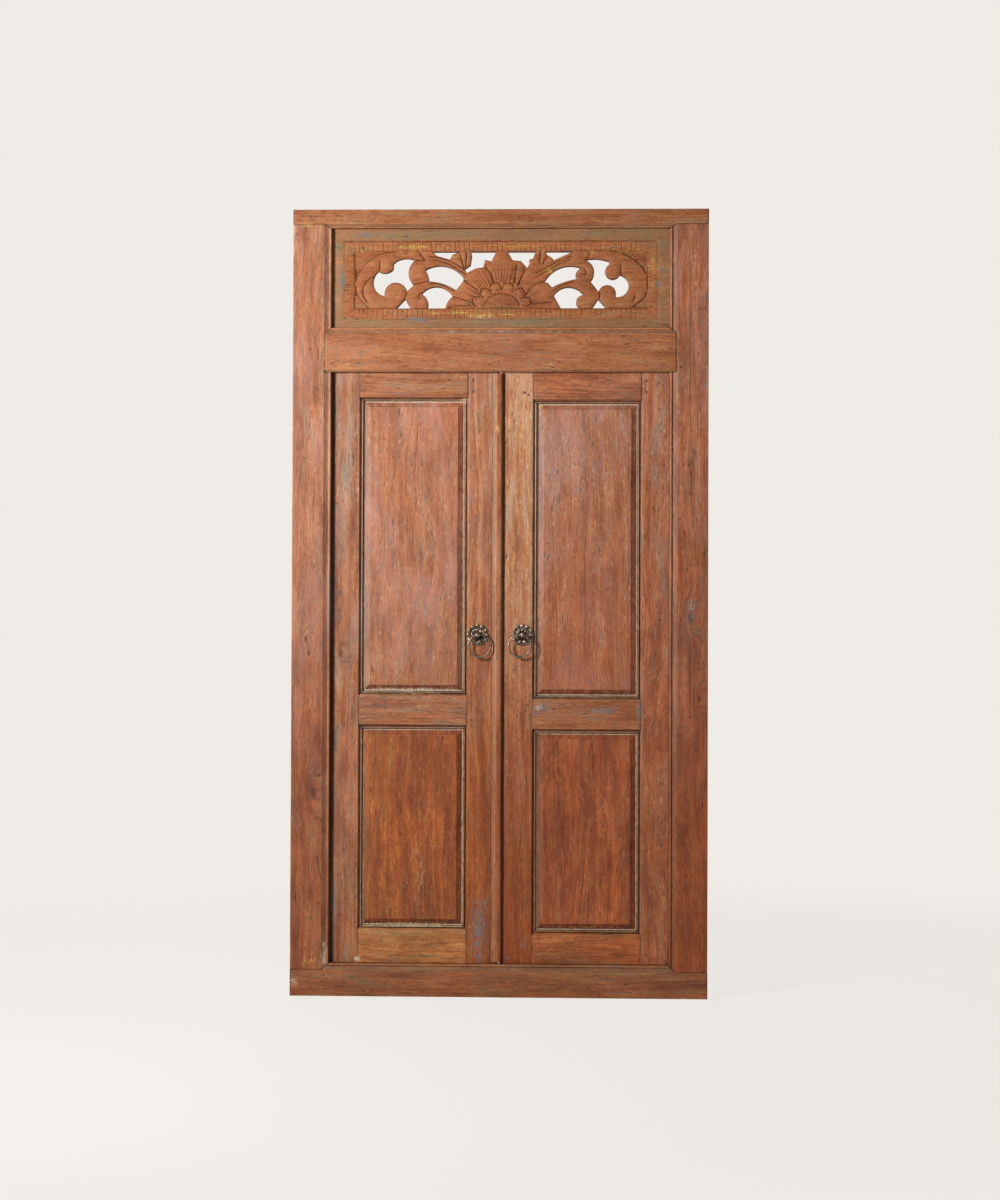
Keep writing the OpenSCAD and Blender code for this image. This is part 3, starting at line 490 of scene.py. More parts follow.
def woodMaterial(name, along, seed, pith=(0.07, 0.10), tone=(1, 1, 1), foot=(1, 1, 1), grey=0.4, pink=0.5,
                 fleck=0.5, contrast=1.0, mottled=1.0, knots=(), splits=()):
    # knots: (x, z, radius), splits: (x, z, x, z, width), all in mm
    material, tree, surface = newMaterial(name)
    place = addNode(tree, "ShaderNodeTexCoord").outputs["Object"]
    axes = addNode(tree, "ShaderNodeSeparateXYZ", {0: place}).outputs
    across, run = (axes[0], axes[2]) if along == 2 else (axes[2], axes[0])
    plain = addNode(tree, "ShaderNodeCombineXYZ", {0: across, 1: axes[1], 2: run}).outputs[0]
    # bend the grain gently, and round the knots
    bend = noise(tree, stretched(tree, plain, 8.0, 2.2, seed), 1.0, 3.0, 0.5)
    sway = maths(tree, "MULTIPLY_ADD", bend, 0.075, -0.037)
    knotDark = None
    for x, z, r in knots:
        there = (x * mm, 0, z * mm) if along == 2 else (z * mm, 0, x * mm)
        off = addNode(tree, "ShaderNodeVectorMath", {0: plain, 1: there}, operation="SUBTRACT").outputs[0]
        flat = addNode(tree, "ShaderNodeVectorMath", {0: off, 1: (1, 0, 0.42)}, operation="MULTIPLY")
        far = addNode(tree, "ShaderNodeVectorMath", {0: flat.outputs[0]},
                      operation="LENGTH").outputs["Value"]
        near = clamped(tree, far, 0.0, 4.5 * r * mm, 1.0, 0.0)
        sway = maths(tree, "MULTIPLY_ADD", near, 0.030, sway)
        core = clamped(tree, far, 0.35 * r * mm, 1.15 * r * mm, 1.0, 0.0)
        knotDark = core if knotDark is None else maths(tree, "MAXIMUM", knotDark, core)
    bentAcross = maths(tree, "ADD", across, sway)
    bent = addNode(tree, "ShaderNodeCombineXYZ", {0: bentAcross, 1: axes[1], 2: run}).outputs[0]
    # growth rings round a pith that leans a little
    lean = maths(tree, "MULTIPLY_ADD", run, 0.035 * math.sin(seed * 2.1), pith[0] + 0.015 * math.sin(seed))
    ringX = maths(tree, "ADD", bentAcross, lean)
    ringY = maths(tree, "ADD", axes[1], pith[1])
    radius = maths(tree, "SQRT", maths(tree, "ADD", maths(tree, "MULTIPLY", ringX, ringX),
                                       maths(tree, "MULTIPLY", ringY, ringY)))
    ringAt = maths(tree, "MULTIPLY_ADD", radius, 1.0 / teak["ring"], seed * 13.0)
    sockets = {"W": ringAt, "Scale": 1.0, "Detail": 3.0, "Roughness": 0.6}
    rings = addNode(tree, "ShaderNodeTexNoise", sockets, noise_dimensions="1D").outputs[0]
    streak = noise(tree, stretched(tree, bent, 60, 3.0, seed * 2), 1.0, 4.0, 0.6)
    fibre = noise(tree, stretched(tree, bent, 480, 16, seed * 3), 1.0, 3.0, 0.65)
    pore = noise(tree, stretched(tree, bent, 1000, 60, seed * 5), 1.0, 1.0, 0.5)
    pores = clamped(tree, pore, 0.60, 0.72)
    blotch = noise(tree, stretched(tree, plain, 11, 4.5, seed * 7), 1.0, 4.0, 0.6)
    patch = noise(tree, stretched(tree, plain, 34, 9, seed * 9), 1.0, 4.0, 0.62)
    dust = noise(tree, stretched(tree, plain, 70, 45, seed * 11), 1.0, 4.0, 0.7)
    speck = noise(tree, stretched(tree, bent, 210, 75, seed * 15), 1.0, 3.0, 0.6)
    mottle = noise(tree, stretched(tree, bent, 24, 5.5, seed * 21), 1.0, 8.0, 0.70)
    shred = noise(tree, stretched(tree, bent, 170, 24, seed * 17), 1.0, 4.0, 0.7)
    checkGrain = noise(tree, stretched(tree, bent, 95, 5, seed * 19), 1.0, 2.0, 0.5)

    value = maths(tree, "MULTIPLY_ADD", rings, 0.30 * contrast,
                  maths(tree, "MULTIPLY", streak, 0.40 * contrast))
    value = maths(tree, "MULTIPLY_ADD", fibre, 0.36, value)
    value = maths(tree, "MULTIPLY_ADD", patch, 0.42, value)
    value = maths(tree, "MULTIPLY_ADD", speck, 0.24, value)
    middle = 0.5 * (0.70 * contrast + 1.02)
    shade = addNode(tree, "ShaderNodeValToRGB", {0: clamped(tree, value, middle - 0.27, middle + 0.27)})
    ramp = shade.color_ramp
    ramp.elements[0].color = rgb(teak["dark"])
    ramp.elements[1].color = rgb(teak["pale"])
    ramp.elements.new(0.52).color = rgb(teak["mid"])
    colour = shade.outputs[0]
    colour = mixed(tree, clamped(tree, blotch, 0.42, 0.70, 0.0, pink), colour, rgb(teak["pink"]))
    plum = maths(tree, "MULTIPLY", clamped(tree, patch, 0.56, 0.72), clamped(tree, blotch, 0.55, 0.40))
    colour = mixed(tree, maths(tree, "MULTIPLY", plum, 0.55), colour, rgb(teak["plum"]))

    marks = addNode(tree, "ShaderNodeAttribute", attribute_name="state")
    worn, sunk, dull = addNode(tree, "ShaderNodeSeparateColor", {0: marks.outputs["Color"]}).outputs
    deep = marks.outputs["Alpha"]
    paint = addNode(tree, "ShaderNodeAttribute", attribute_name="paint").outputs["Color"]
    blue, yellow, white = addNode(tree, "ShaderNodeSeparateColor", {0: paint}).outputs

    # grey weathering; the grey mark also paints a paler, lit look on bevels and slopes facing the light
    weather = maths(tree, "MULTIPLY", clamped(tree, streak, 0.40, 0.66), clamped(tree, patch, 0.40, 0.62))
    weather = maths(tree, "MULTIPLY_ADD", weather, grey * 1.25, maths(tree, "MULTIPLY", dull, 0.45))
    weather = addNode(tree, "ShaderNodeClamp", {0: weather}).outputs[0]
    colour = mixed(tree, weather, colour, rgb(teak["grey"]))
    colour = mixed(tree, maths(tree, "MULTIPLY", pores, 0.42), colour, rgb(teak["dark"]))
    slate = maths(tree, "MULTIPLY", clamped(tree, shred, 0.55, 0.68),
                  clamped(tree, blotch, 0.44, 0.60, 0.12, 0.8))
    colour = mixed(tree, slate, colour, rgb(teak["slate"]))
    # rings rubbed light here and there
    line = clamped(tree, maths(tree, "ABSOLUTE", maths(tree, "SUBTRACT", rings, 0.5)), 0.0, 0.035, 1.0, 0.0)
    rubbed = maths(tree, "MULTIPLY_ADD", clamped(tree, axes[2], 0.75, 0.10), 0.10, dust)
    line = maths(tree, "MULTIPLY", line, clamped(tree, rubbed, 0.50, 0.68, 0.0, fleck))
    colour = mixed(tree, maths(tree, "MULTIPLY", line, 0.75), colour, rgb(teak["fleck"]))
    flecks = maths(tree, "MULTIPLY", clamped(tree, speck, 0.62, 0.72),
                   clamped(tree, patch, 0.44, 0.58, 0.0, fleck))
    colour = mixed(tree, flecks, colour, rgb(teak["fleck"]))
    pits = maths(tree, "MULTIPLY", clamped(tree, speck, 0.40, 0.31),
                 clamped(tree, dust, 0.44, 0.58, 0.1, 0.85))
    colour = mixed(tree, pits, colour, rgb(teak["pit"]))
    offGrain = maths(tree, "ABSOLUTE", maths(tree, "SUBTRACT", checkGrain, 0.5))
    cracks = clamped(tree, offGrain, 0.0, 0.014, 1.0, 0.0)
    cracks = maths(tree, "MULTIPLY", cracks, clamped(tree, patch, 0.52, 0.60, 0.0, 0.75))
    for lowX, lowZ, highX, highZ, wide in splits:
        slope = (highX - lowX) / (highZ - lowZ)
        off = maths(tree, "SUBTRACT", maths(tree, "MULTIPLY_ADD", run, -slope, across),
                    (lowX - slope * lowZ) * mm)
        off = maths(tree, "MULTIPLY_ADD", streak, 0.012, maths(tree, "SUBTRACT", off, 0.006))
        there = clamped(tree, maths(tree, "ABSOLUTE", off), 0.2 * wide * mm, wide * mm, 1.0, 0.0)
        ends = maths(tree, "ABSOLUTE", maths(tree, "SUBTRACT", run, (lowZ + highZ) / 2 * mm))
        reach = abs(lowZ - highZ) / 2 * mm
        there = maths(tree, "MULTIPLY", there, clamped(tree, ends, 0.7 * reach, reach, 0.9, 0.0))
        cracks = maths(tree, "MAXIMUM", cracks, there)
    colour = mixed(tree, cracks, colour, rgb(teak["crack"]))
    rub = maths(tree, "MULTIPLY_ADD", dust, 0.9, maths(tree, "MULTIPLY", worn, 0.45))
    rub = clamped(tree, rub, 0.58, 0.95)
    rub = maths(tree, "MULTIPLY", rub, clamped(tree, worn, 0.05, 0.5))
    colour = mixed(tree, maths(tree, "MULTIPLY", rub, 0.60), colour, rgb(teak["bare"]))
    # painted shade on the panel bevels facing away from the light
    bevelShade = maths(tree, "MULTIPLY", deep, clamped(tree, dust, 0.30, 0.62, 1.0, 0.55))
    colour = mixed(tree, bevelShade, colour, rgb(teak["bevelShade"]), "MULTIPLY")
    # painted shade and grime in quirks, joints and hollows, and the painted shadow of the jamb lip
    shadeGrimeMix = clamped(tree, maths(tree, "MULTIPLY_ADD", dust, 0.7, sunk), 0.62, 1.25)
    colour = mixed(tree, maths(tree, "MULTIPLY", shadeGrimeMix, 0.82), colour, rgb(teak["shadeGrimeColour"]))
    if knotDark is not None:
        colour = mixed(tree, maths(tree, "MULTIPLY", knotDark, 0.8), colour, rgb(teak["pit"]))
    uneven = clamped(tree, mottle, 0.34, 0.66, 1 - 0.19 * mottled, 1 + 0.18 * mottled)
    colour = mixed(tree, 1.0, colour, uneven, "MULTIPLY")
    # painted shade: darker and redder towards the foot
    height = clamped(tree, axes[2], 0.2, 1.75)
    footShading = mixed(tree, height, rgb([a * b for a, b in zip(teak["footShade"], foot)]), rgb(tone))
    colour = mixed(tree, 1.0, colour, footShading, "MULTIPLY")
    flake = noise(tree, stretched(tree, plain, 260, 70, seed * 13), 1.0, 5.0, 0.75)
    for mask, kind, amount in ((blue, "blue", 0.72), (yellow, "yellow", 0.60), (white, "white", 0.62)):
        there = clamped(tree, maths(tree, "MULTIPLY_ADD", mask, 0.30, flake), 0.60, 0.84, 0.0, amount)
        there = maths(tree, "MULTIPLY", there, clamped(tree, mask, 0.02, 0.30))
        colour = mixed(tree, there, colour, rgb(teak[kind]))
    tree.links.new(colour, surface.inputs["Base Color"])

    gloss = clamped(tree, maths(tree, "MULTIPLY_ADD", dust, 0.5, maths(tree, "MULTIPLY", fibre, 0.5)),
                    0.3, 0.7, 0.50, 0.78)
    tree.links.new(gloss, surface.inputs["Roughness"])
    surface.inputs["Specular IOR Level"].default_value = 0.30
    high = maths(tree, "MULTIPLY_ADD", fibre, 0.45, maths(tree, "MULTIPLY", rings, 0.30))
    high = maths(tree, "MULTIPLY_ADD", pores, -0.45, high)
    high = maths(tree, "MULTIPLY_ADD", dust, 0.30, high)
    high = maths(tree, "MULTIPLY_ADD", maths(tree, "ADD", pits, cracks), -0.8, high)
    sockets = {"Strength": 0.75, "Distance": teak["bumpDepth"], "Height": high}
    bump = addNode(tree, "ShaderNodeBump", sockets)
    tree.links.new(bump.outputs[0], surface.inputs["Normal"])
    return material


frameMoulds = {"jamb": 0.020, "sill": 0.020, "head": 0.012, "transomFoot": 0.005, "transomTop": 0.016}
# the sill, head and transom are given as the shoulder and the sight edge of their mouldings
frameSizes = {
    "half": span("sill", 0)[1],
    "front": span("sill", 1)[0],
    "back": span("sill", 1)[1],
    "high": span("head", 2)[1],
    "sight": span("right_jamb", 0)[0],
    "shoulder": span("right_jamb", 0, frameMoulds["jamb"])[0],
    "sill": (span("sill", 2, frameMoulds["sill"])[1], span("sill", 2)[1]),
    "head": (span("head", 2, frameMoulds["head"])[0], span("head", 2)[0]),
    "transomFoot": (span("transom_rail", 2, frameMoulds["transomFoot"])[0], span("transom_rail", 2)[0]),
    "transomTop": (span("transom_rail", 2, frameMoulds["transomTop"])[1], span("transom_rail", 2)[1]),
    # the rebate clears the leaves
    "rebate": span("right_hinge_stile", 0, -2 * mm)[1],
    "rebateTop": span("right_top_rail", 2, -3 * mm)[1],
    "rebateFoot": span("right_bottom_rail", 2, -3 * mm)[0],
    "lipBack": span("right_hinge_stile", 1, -1 * mm)[0],
    "drop": 0.008,                  # depth of the mouldings
    "beadDrop": 0.004,
    "arris": 1.6 * mm,
    "tuck": 1.5 * mm,               # how far a strip reaches into the member beside it
    "washedAt": 1.19,               # where the left jamb is washed out
    "washedReach": 0.36,
    "knots": {"left": [(-496, 542, 10), (-516, 950, 5), (-508, 912, 4)],
              "right": [(508, 1010, 8), (532, 796, 6)]},
    "splits": {"left": [(-486, 380, -470, 300, 1.6)],
               "right": [(505, 2015, 509, 1405, 1.1), (508, 965, 505, 715, 1.2)]},
}

# colour of each member: tone at the head, foot at the floor with painted shade, and how grey, pink and
# flecked it is
frameTones = {
    "left_jamb": {"tone": (0.72, 0.77, 0.81), "foot": (0.55, 0.56, 0.55), "grey": 0.35, "pink": 0.5,
                  "fleck": 0.4, "mottled": 1.5},
    "right_jamb": {"tone": (0.74, 0.74, 0.77), "foot": (0.54, 0.42, 0.24), "grey": 0.3, "pink": 0.3,
                   "fleck": 0.5, "mottled": 1.4},
    "sill": {"tone": (0.56, 0.64, 0.63), "foot": (0.56, 0.64, 0.63), "grey": 0.5, "pink": 0.2,
             "fleck": 0.2, "mottled": 1.3},
    "head": {"tone": (0.67, 0.68, 0.55), "foot": (0.67, 0.68, 0.55), "grey": 0.3, "pink": 0.3,
             "fleck": 0.2, "mottled": 0.3},
    "transom": {"tone": (0.70, 0.70, 0.61), "foot": (0.70, 0.70, 0.61), "grey": 0.15, "pink": 0.3,
                "fleck": 0.3, "mottled": 0.5},
}


def makeFrame():
    f = frameSizes
    front, back, tuck = f["front"], f["back"], f["tuck"]
    for side, label in ((-1, "left"), (1, "right")):
        sight, shoulder, rebate = side * f["sight"], side * f["shoulder"], side * f["rebate"]
        seed = 3 + side
        across = sorted((shoulder, side * f["half"]))
        cuts = (1, 0.7, 0, 1) if side < 0 else (0.7, 1, 1, 0)
        shells = [bar(across, (front, back), (f["sill"][0], f["head"][0]), 2, seed, cuts, cut=f["arris"])]
        if side < 0:                # washed out where it was leant on
            points = shells[0][0]
            far = np.abs(points[:, 2] - f["washedAt"]) / f["washedReach"]
            washed = np.clip(1.3 - far, 0, 1) * (points[:, 1] < 0)
            shells[0] = shells[0][:4] + ({"dull": 0.3 * washed, "white": 0.11 * washed},)
        inside = shoulder + side * tuck
        low = [(inside, front + tuck), (inside, back), (rebate, back), (rebate, f["lipBack"]),
               (sight, f["lipBack"])]
        starts, stops = f["sill"][::-1], (f["transomFoot"][1], f["transomFoot"][1])
        shells.append(mouldStrip(sight, shoulder, front, f["drop"], low, starts, stops, 2, seed + 0.3,
                                 inFrame=True))
        high = [(inside, front + tuck), (inside, back), (sight, back)]
        starts, stops = f["transomTop"][::-1], f["head"][::-1]
        shells.append(mouldStrip(sight, shoulder, front, f["drop"], high, starts, stops, 2, seed + 0.6,
                                 inFrame=True))
        wood = woodMaterial(label + "_jamb_teak", 2, seed, pith=(-side * 0.50, 0.06),
                            knots=f["knots"][label], splits=f["splits"][label],
                            **frameTones[label + "_jamb"])
        makePiece(label + "_jamb_visual", shells, "frame", wood, [label + "_jamb"])

    ends = (-f["half"], f["half"])
    starts, stops = (-f["sight"], -f["shoulder"]), (f["sight"], f["shoulder"])

    shoulder, sight = f["sill"]
    behind = [(shoulder - tuck, front + tuck), (shoulder - tuck, back), (f["rebateFoot"], back),
              (f["rebateFoot"], f["lipBack"]), (sight, f["lipBack"])]
    shells = [bar((0, shoulder), (front, back), ends, 0, 11, (1.4, 0.7, 0.6, 1), cut=f["arris"], chips=1.6),
              mouldStrip(sight, shoulder, front, f["drop"], behind, starts, stops, 0, 11.4, inFrame=True)]
    wood = woodMaterial("sill_teak", 0, 11, pith=(0.03, 0.12), **frameTones["sill"])
    makePiece("sill_visual", shells, "frame", wood, ["sill"])

    shoulder, sight = f["head"]
    behind = [(shoulder + tuck, front + tuck), (shoulder + tuck, back), (sight, back)]
    shells = [bar((shoulder, f["high"]), (front, back), ends, 0, 13, (0.7, 1.2, 1, 0), cut=f["arris"]),
              mouldStrip(sight, shoulder, front, f["drop"], behind, starts, stops, 0, 13.4, inFrame=True)]
    wood = woodMaterial("head_teak", 0, 13, pith=(-2.02, 0.09), **frameTones["head"])
    makePiece("head_visual", shells, "frame", wood, ["head"])

    low, high = f["transomFoot"][0], f["transomTop"][0]
    corners = [(low, front, 0.8), (high, front, 0.7), (high, back, 0), (f["rebateTop"], back, 1),
               (f["rebateTop"], f["lipBack"], 0), (low, f["lipBack"], 0)]
    body = loft(corners, lambda u: -f["shoulder"], lambda u: f["shoulder"], 0, 15, cut=f["arris"])
    sight = f["transomTop"][1]
    behind = [(high - tuck, front + tuck), (high - tuck, back), (sight, back)]
    top = mouldStrip(sight, high, front, f["drop"], behind, starts, stops, 0, 15.3, inFrame=True)
    foot = f["transomFoot"][1]
    behind = [(low + tuck, front + tuck), (low + tuck, f["lipBack"]), (foot, f["lipBack"])]
    wide = (starts[1], starts[1]), (stops[1], stops[1])
    bead = mouldStrip(foot, low, front, f["beadDrop"], behind, wide[0], wide[1], 0, 15.6, inFrame=True)
    wood = woodMaterial("transom_teak", 0, 15, pith=(-1.69, 0.11), **frameTones["transom"])
    makePiece("transom_visual", [body, top, bead], "frame", wood, ["transom_rail"])


makeFrame()
print("frame members made")


leafSizes = {
    "front": span("right_hinge_stile", 1)[0],
    "back": span("right_hinge_stile", 1)[1],
    "low": span("right_hinge_stile", 2)[0],
    "high": span("right_hinge_stile", 2)[1],
    "hinge": span("right_hinge_stile", 0)[1],
    "meetFront": 0.0035,            # the meeting edges are a little bevelled
    "meetBack": span("right_meeting_stile", 0)[0],
    "stick": 0.011,                 # width of the moulding round the panels
    "drop": 0.007,
    "arris": 1.5 * mm,
    "tuck": 1.5 * mm,
    # where the painted shadow of the jamb lip begins on each hinge stile
    "lipShadowFrom": {"left": 0.434, "right": 0.449},
    "knots": {"left": [(-425, 913, 6)], "right": []},
}
panelSizes = {
    "bevel": 17 * mm,
    "edge": 0.002,
    "field": span("right_upper_panel", 1)[0],
    "step": 1.5 * mm,
    "edgeBack": 0.012,
    "back": span("right_upper_panel", 1)[1],
    "backBevel": 10.5 * mm,
    # rows of points in from the sight edge, in mm
    "lines": [-8.5, -2, 0.4, 1.0, 2.5, 5, 8, 11, 14, 16.2, 17, 17.35, 18.0, 19.5, 24],
}
# colour of each member, as for the frame
leafTones = {
    "left": {
        "hinge": {"tone": (0.75, 0.90, 1.01), "foot": (0.66, 0.76, 0.86), "grey": 0.7, "pink": 0.5,
                  "mottled": 1.3},
        "meet": {"tone": (0.88, 1.04, 1.12), "foot": (0.68, 0.61, 0.29), "grey": 0.35, "pink": 0.3,
                 "mottled": 0.9},
        "top": {"tone": (0.67, 0.69, 0.61), "foot": (0.67, 0.69, 0.61), "grey": 0.35, "pink": 0.3},
        "mid": {"tone": (0.71, 0.84, 0.93), "foot": (0.71, 0.84, 0.93), "grey": 0.5, "pink": 0.3,
                "mottled": 1.5},
        "bottom": {"tone": (0.84, 1.09, 0.94), "foot": (0.84, 1.09, 0.94), "grey": 0.4, "pink": 0.1,
                   "mottled": 1.3},
        "upper": {"tone": (0.81, 0.88, 1.00), "foot": (0.61, 0.87, 1.15), "grey": 0.15, "pink": 0.6,
                  "fleck": 0.8, "contrast": 0.7, "mottled": 1.1},
        "lower": {"tone": (0.67, 0.59, 0.37), "foot": (0.62, 0.55, 0.33), "grey": 0.1, "pink": 0.2,
                  "fleck": 0.8, "contrast": 0.9, "mottled": 1.4},
    },
    "right": {
        "hinge": {"tone": (0.81, 0.83, 0.88), "foot": (0.70, 0.72, 0.75), "grey": 0.6, "pink": 0.3,
                  "mottled": 1.3},
        "meet": {"tone": (1.04, 1.44, 1.66), "foot": (0.59, 0.45, 0.23), "grey": 0.35, "pink": 0.2,
                 "mottled": 0.6},
        "top": {"tone": (0.74, 0.74, 0.73), "foot": (0.74, 0.74, 0.73), "grey": 0.3, "pink": 0.2},
        "mid": {"tone": (0.71, 0.80, 0.82), "foot": (0.71, 0.80, 0.82), "grey": 0.5, "pink": 0.2,
                "mottled": 0.5},
        "bottom": {"tone": (0.74, 0.71, 0.55), "foot": (0.74, 0.71, 0.55), "grey": 0.3, "pink": 0.1,
                   "mottled": 1.5},
        "upper": {"tone": (0.78, 0.92, 1.10), "foot": (0.72, 0.60, 0.38), "grey": 0.15, "pink": 0.5,
                  "fleck": 1.0, "contrast": 0.7, "mottled": 0.9},
        "lower": {"tone": (0.62, 0.53, 0.43), "foot": (0.62, 0.53, 0.43), "grey": 0.1, "pink": 0.2,
                  "fleck": 0.8, "contrast": 0.9, "mottled": 1.5},
    },
    "strip": {"tone": (0.77, 0.78, 0.71), "foot": (0.68, 0.61, 0.54), "grey": 0.3, "pink": 0.7,
              "mottled": 0.8},
}


def panelLines(low, high):
    # dense over the bevel, wider over the field
    near = np.array(panelSizes["lines"]) * mm
    inner = np.linspace(low + near[-1], high - near[-1], int((high - low) / (9 * mm)))
    return np.concatenate([low + near[:-1], inner, (high - near[:-1])[::-1]])


def raisedPanel(x, z, seed):
    p = panelSizes
    xs, zs = panelLines(*x), panelLines(*z)
    gx, gz = np.meshgrid(xs, zs, indexing="ij")
    wave = lumps(np.stack([gx, gx * 0, gz], -1), (0.05, 1, 0.12), seed) - 0.5
    sideways = np.minimum(gx - x[0], x[1] - gx)
    upright = np.minimum(gz - z[0], z[1] - gz)
    d = np.minimum(sideways, upright)
    shown = d + np.where(d > 14 * mm, wave * 1.0 * mm, 0)
    # bevel, small step, then the flat field
    bevel, field, step = p["bevel"], p["field"], p["step"]
    steps = [1 * mm, bevel - 0.3 * mm, bevel, bevel + 0.6 * mm, bevel + 1.6 * mm]
    front = np.interp(shown, steps, [p["edge"], field + step, field + step * 0.9, field + 0.3 * mm, field])
    spots = np.stack([gx, gx * 0, gz], -1)
    front = front + 0.45 * mm * lumps(spots, (0.04, 1, 0.22), seed + 5) * (d > 0)
    front = front + 0.15 * mm * lumps(spots, (0.011, 1, 0.05), seed + 8) * (d > 0)
    back = np.interp(d, [2 * mm, p["backBevel"]], [p["edgeBack"], p["back"]])
    back = back - 0.5 * mm * lumps(spots, (0.03, 1, 0.2), seed + 12) * (d > 2 * mm)
    count = len(zs)
    total = len(xs) * count
    points = np.concatenate([np.stack([gx, y, gz], -1).reshape(-1, 3) for y in (front, back)])
    faces = []
    lastX, lastZ = len(xs) - 1, count - 1
    for i in range(lastX):
        for k in range(lastZ):
            a, b, c, e = i * count + k, (i + 1) * count + k, (i + 1) * count + k + 1, i * count + k + 1
            rising = i == k or lastX - 1 - i == lastZ - 1 - k
            falling = i == lastZ - 1 - k or lastX - 1 - i == k
            if rising and min(i, lastX - i) < 15:
                faces += [(a, b, c), (a, c, e)]
            elif falling and min(i, lastX - i) < 15:
                faces += [(a, b, e), (b, c, e)]
            else:
                faces.append((a, b, c, e))
            faces.append((a + total, e + total, c + total, b + total))
    rim = [i * count for i in range(len(xs))] + [lastX * count + k for k in range(1, count)]
    rim += [i * count + lastZ for i in range(lastX - 1, -1, -1)] + [k for k in range(lastZ - 1, 0, -1)]
    for i, a in enumerate(rim):
        b = rim[(i + 1) % len(rim)]
        faces.append((a, a + total, b + total, b))
    worn = np.clip(1 - np.abs(d - 17.8 * mm) / (1.6 * mm), 0, 1)
    # painted shade and grime along the sight edge and at the step round the field
    sunk = np.clip(1 - d / (1.6 * mm), 0, 1)
    sunk = np.maximum(sunk, 0.55 * np.clip(1 - np.abs(d - 16.4 * mm) / (1.2 * mm), 0, 1))
    worn = np.concatenate([worn.reshape(-1), 0 * worn.reshape(-1)])
    sunk = np.concatenate([sunk.reshape(-1), 0.3 * sunk.reshape(-1)])
    # painted shade on the foot, far and top bevels, darkest at the foot; the near bevel is painted paler,
    # as lit
    lowEdge, highEdge = gz - z[0], z[1] - gz
    farEdge = x[1] - gx
    onBevel = (d < p["bevel"] - 0.4 * mm) & (d > 0)
    nearest = d + 1e-6
    edges = [lowEdge <= nearest, highEdge <= nearest, farEdge <= nearest]
    deep = np.select(edges, [1.1, 0.35, 0.7], 0.0) * onBevel
    dull = 0.6 * (gx - x[0] <= nearest) * onBevel
    white = 1.5 * np.clip(1.3 - np.abs(d - 1.9 * mm) / (1.3 * mm), 0, 1)
    deep, white, dull = [np.concatenate([v.reshape(-1), 0 * v.reshape(-1)]) for v in (deep, white, dull)]
    return points, faces, worn, sunk, {"deep": deep, "white": white, "dull": dull}


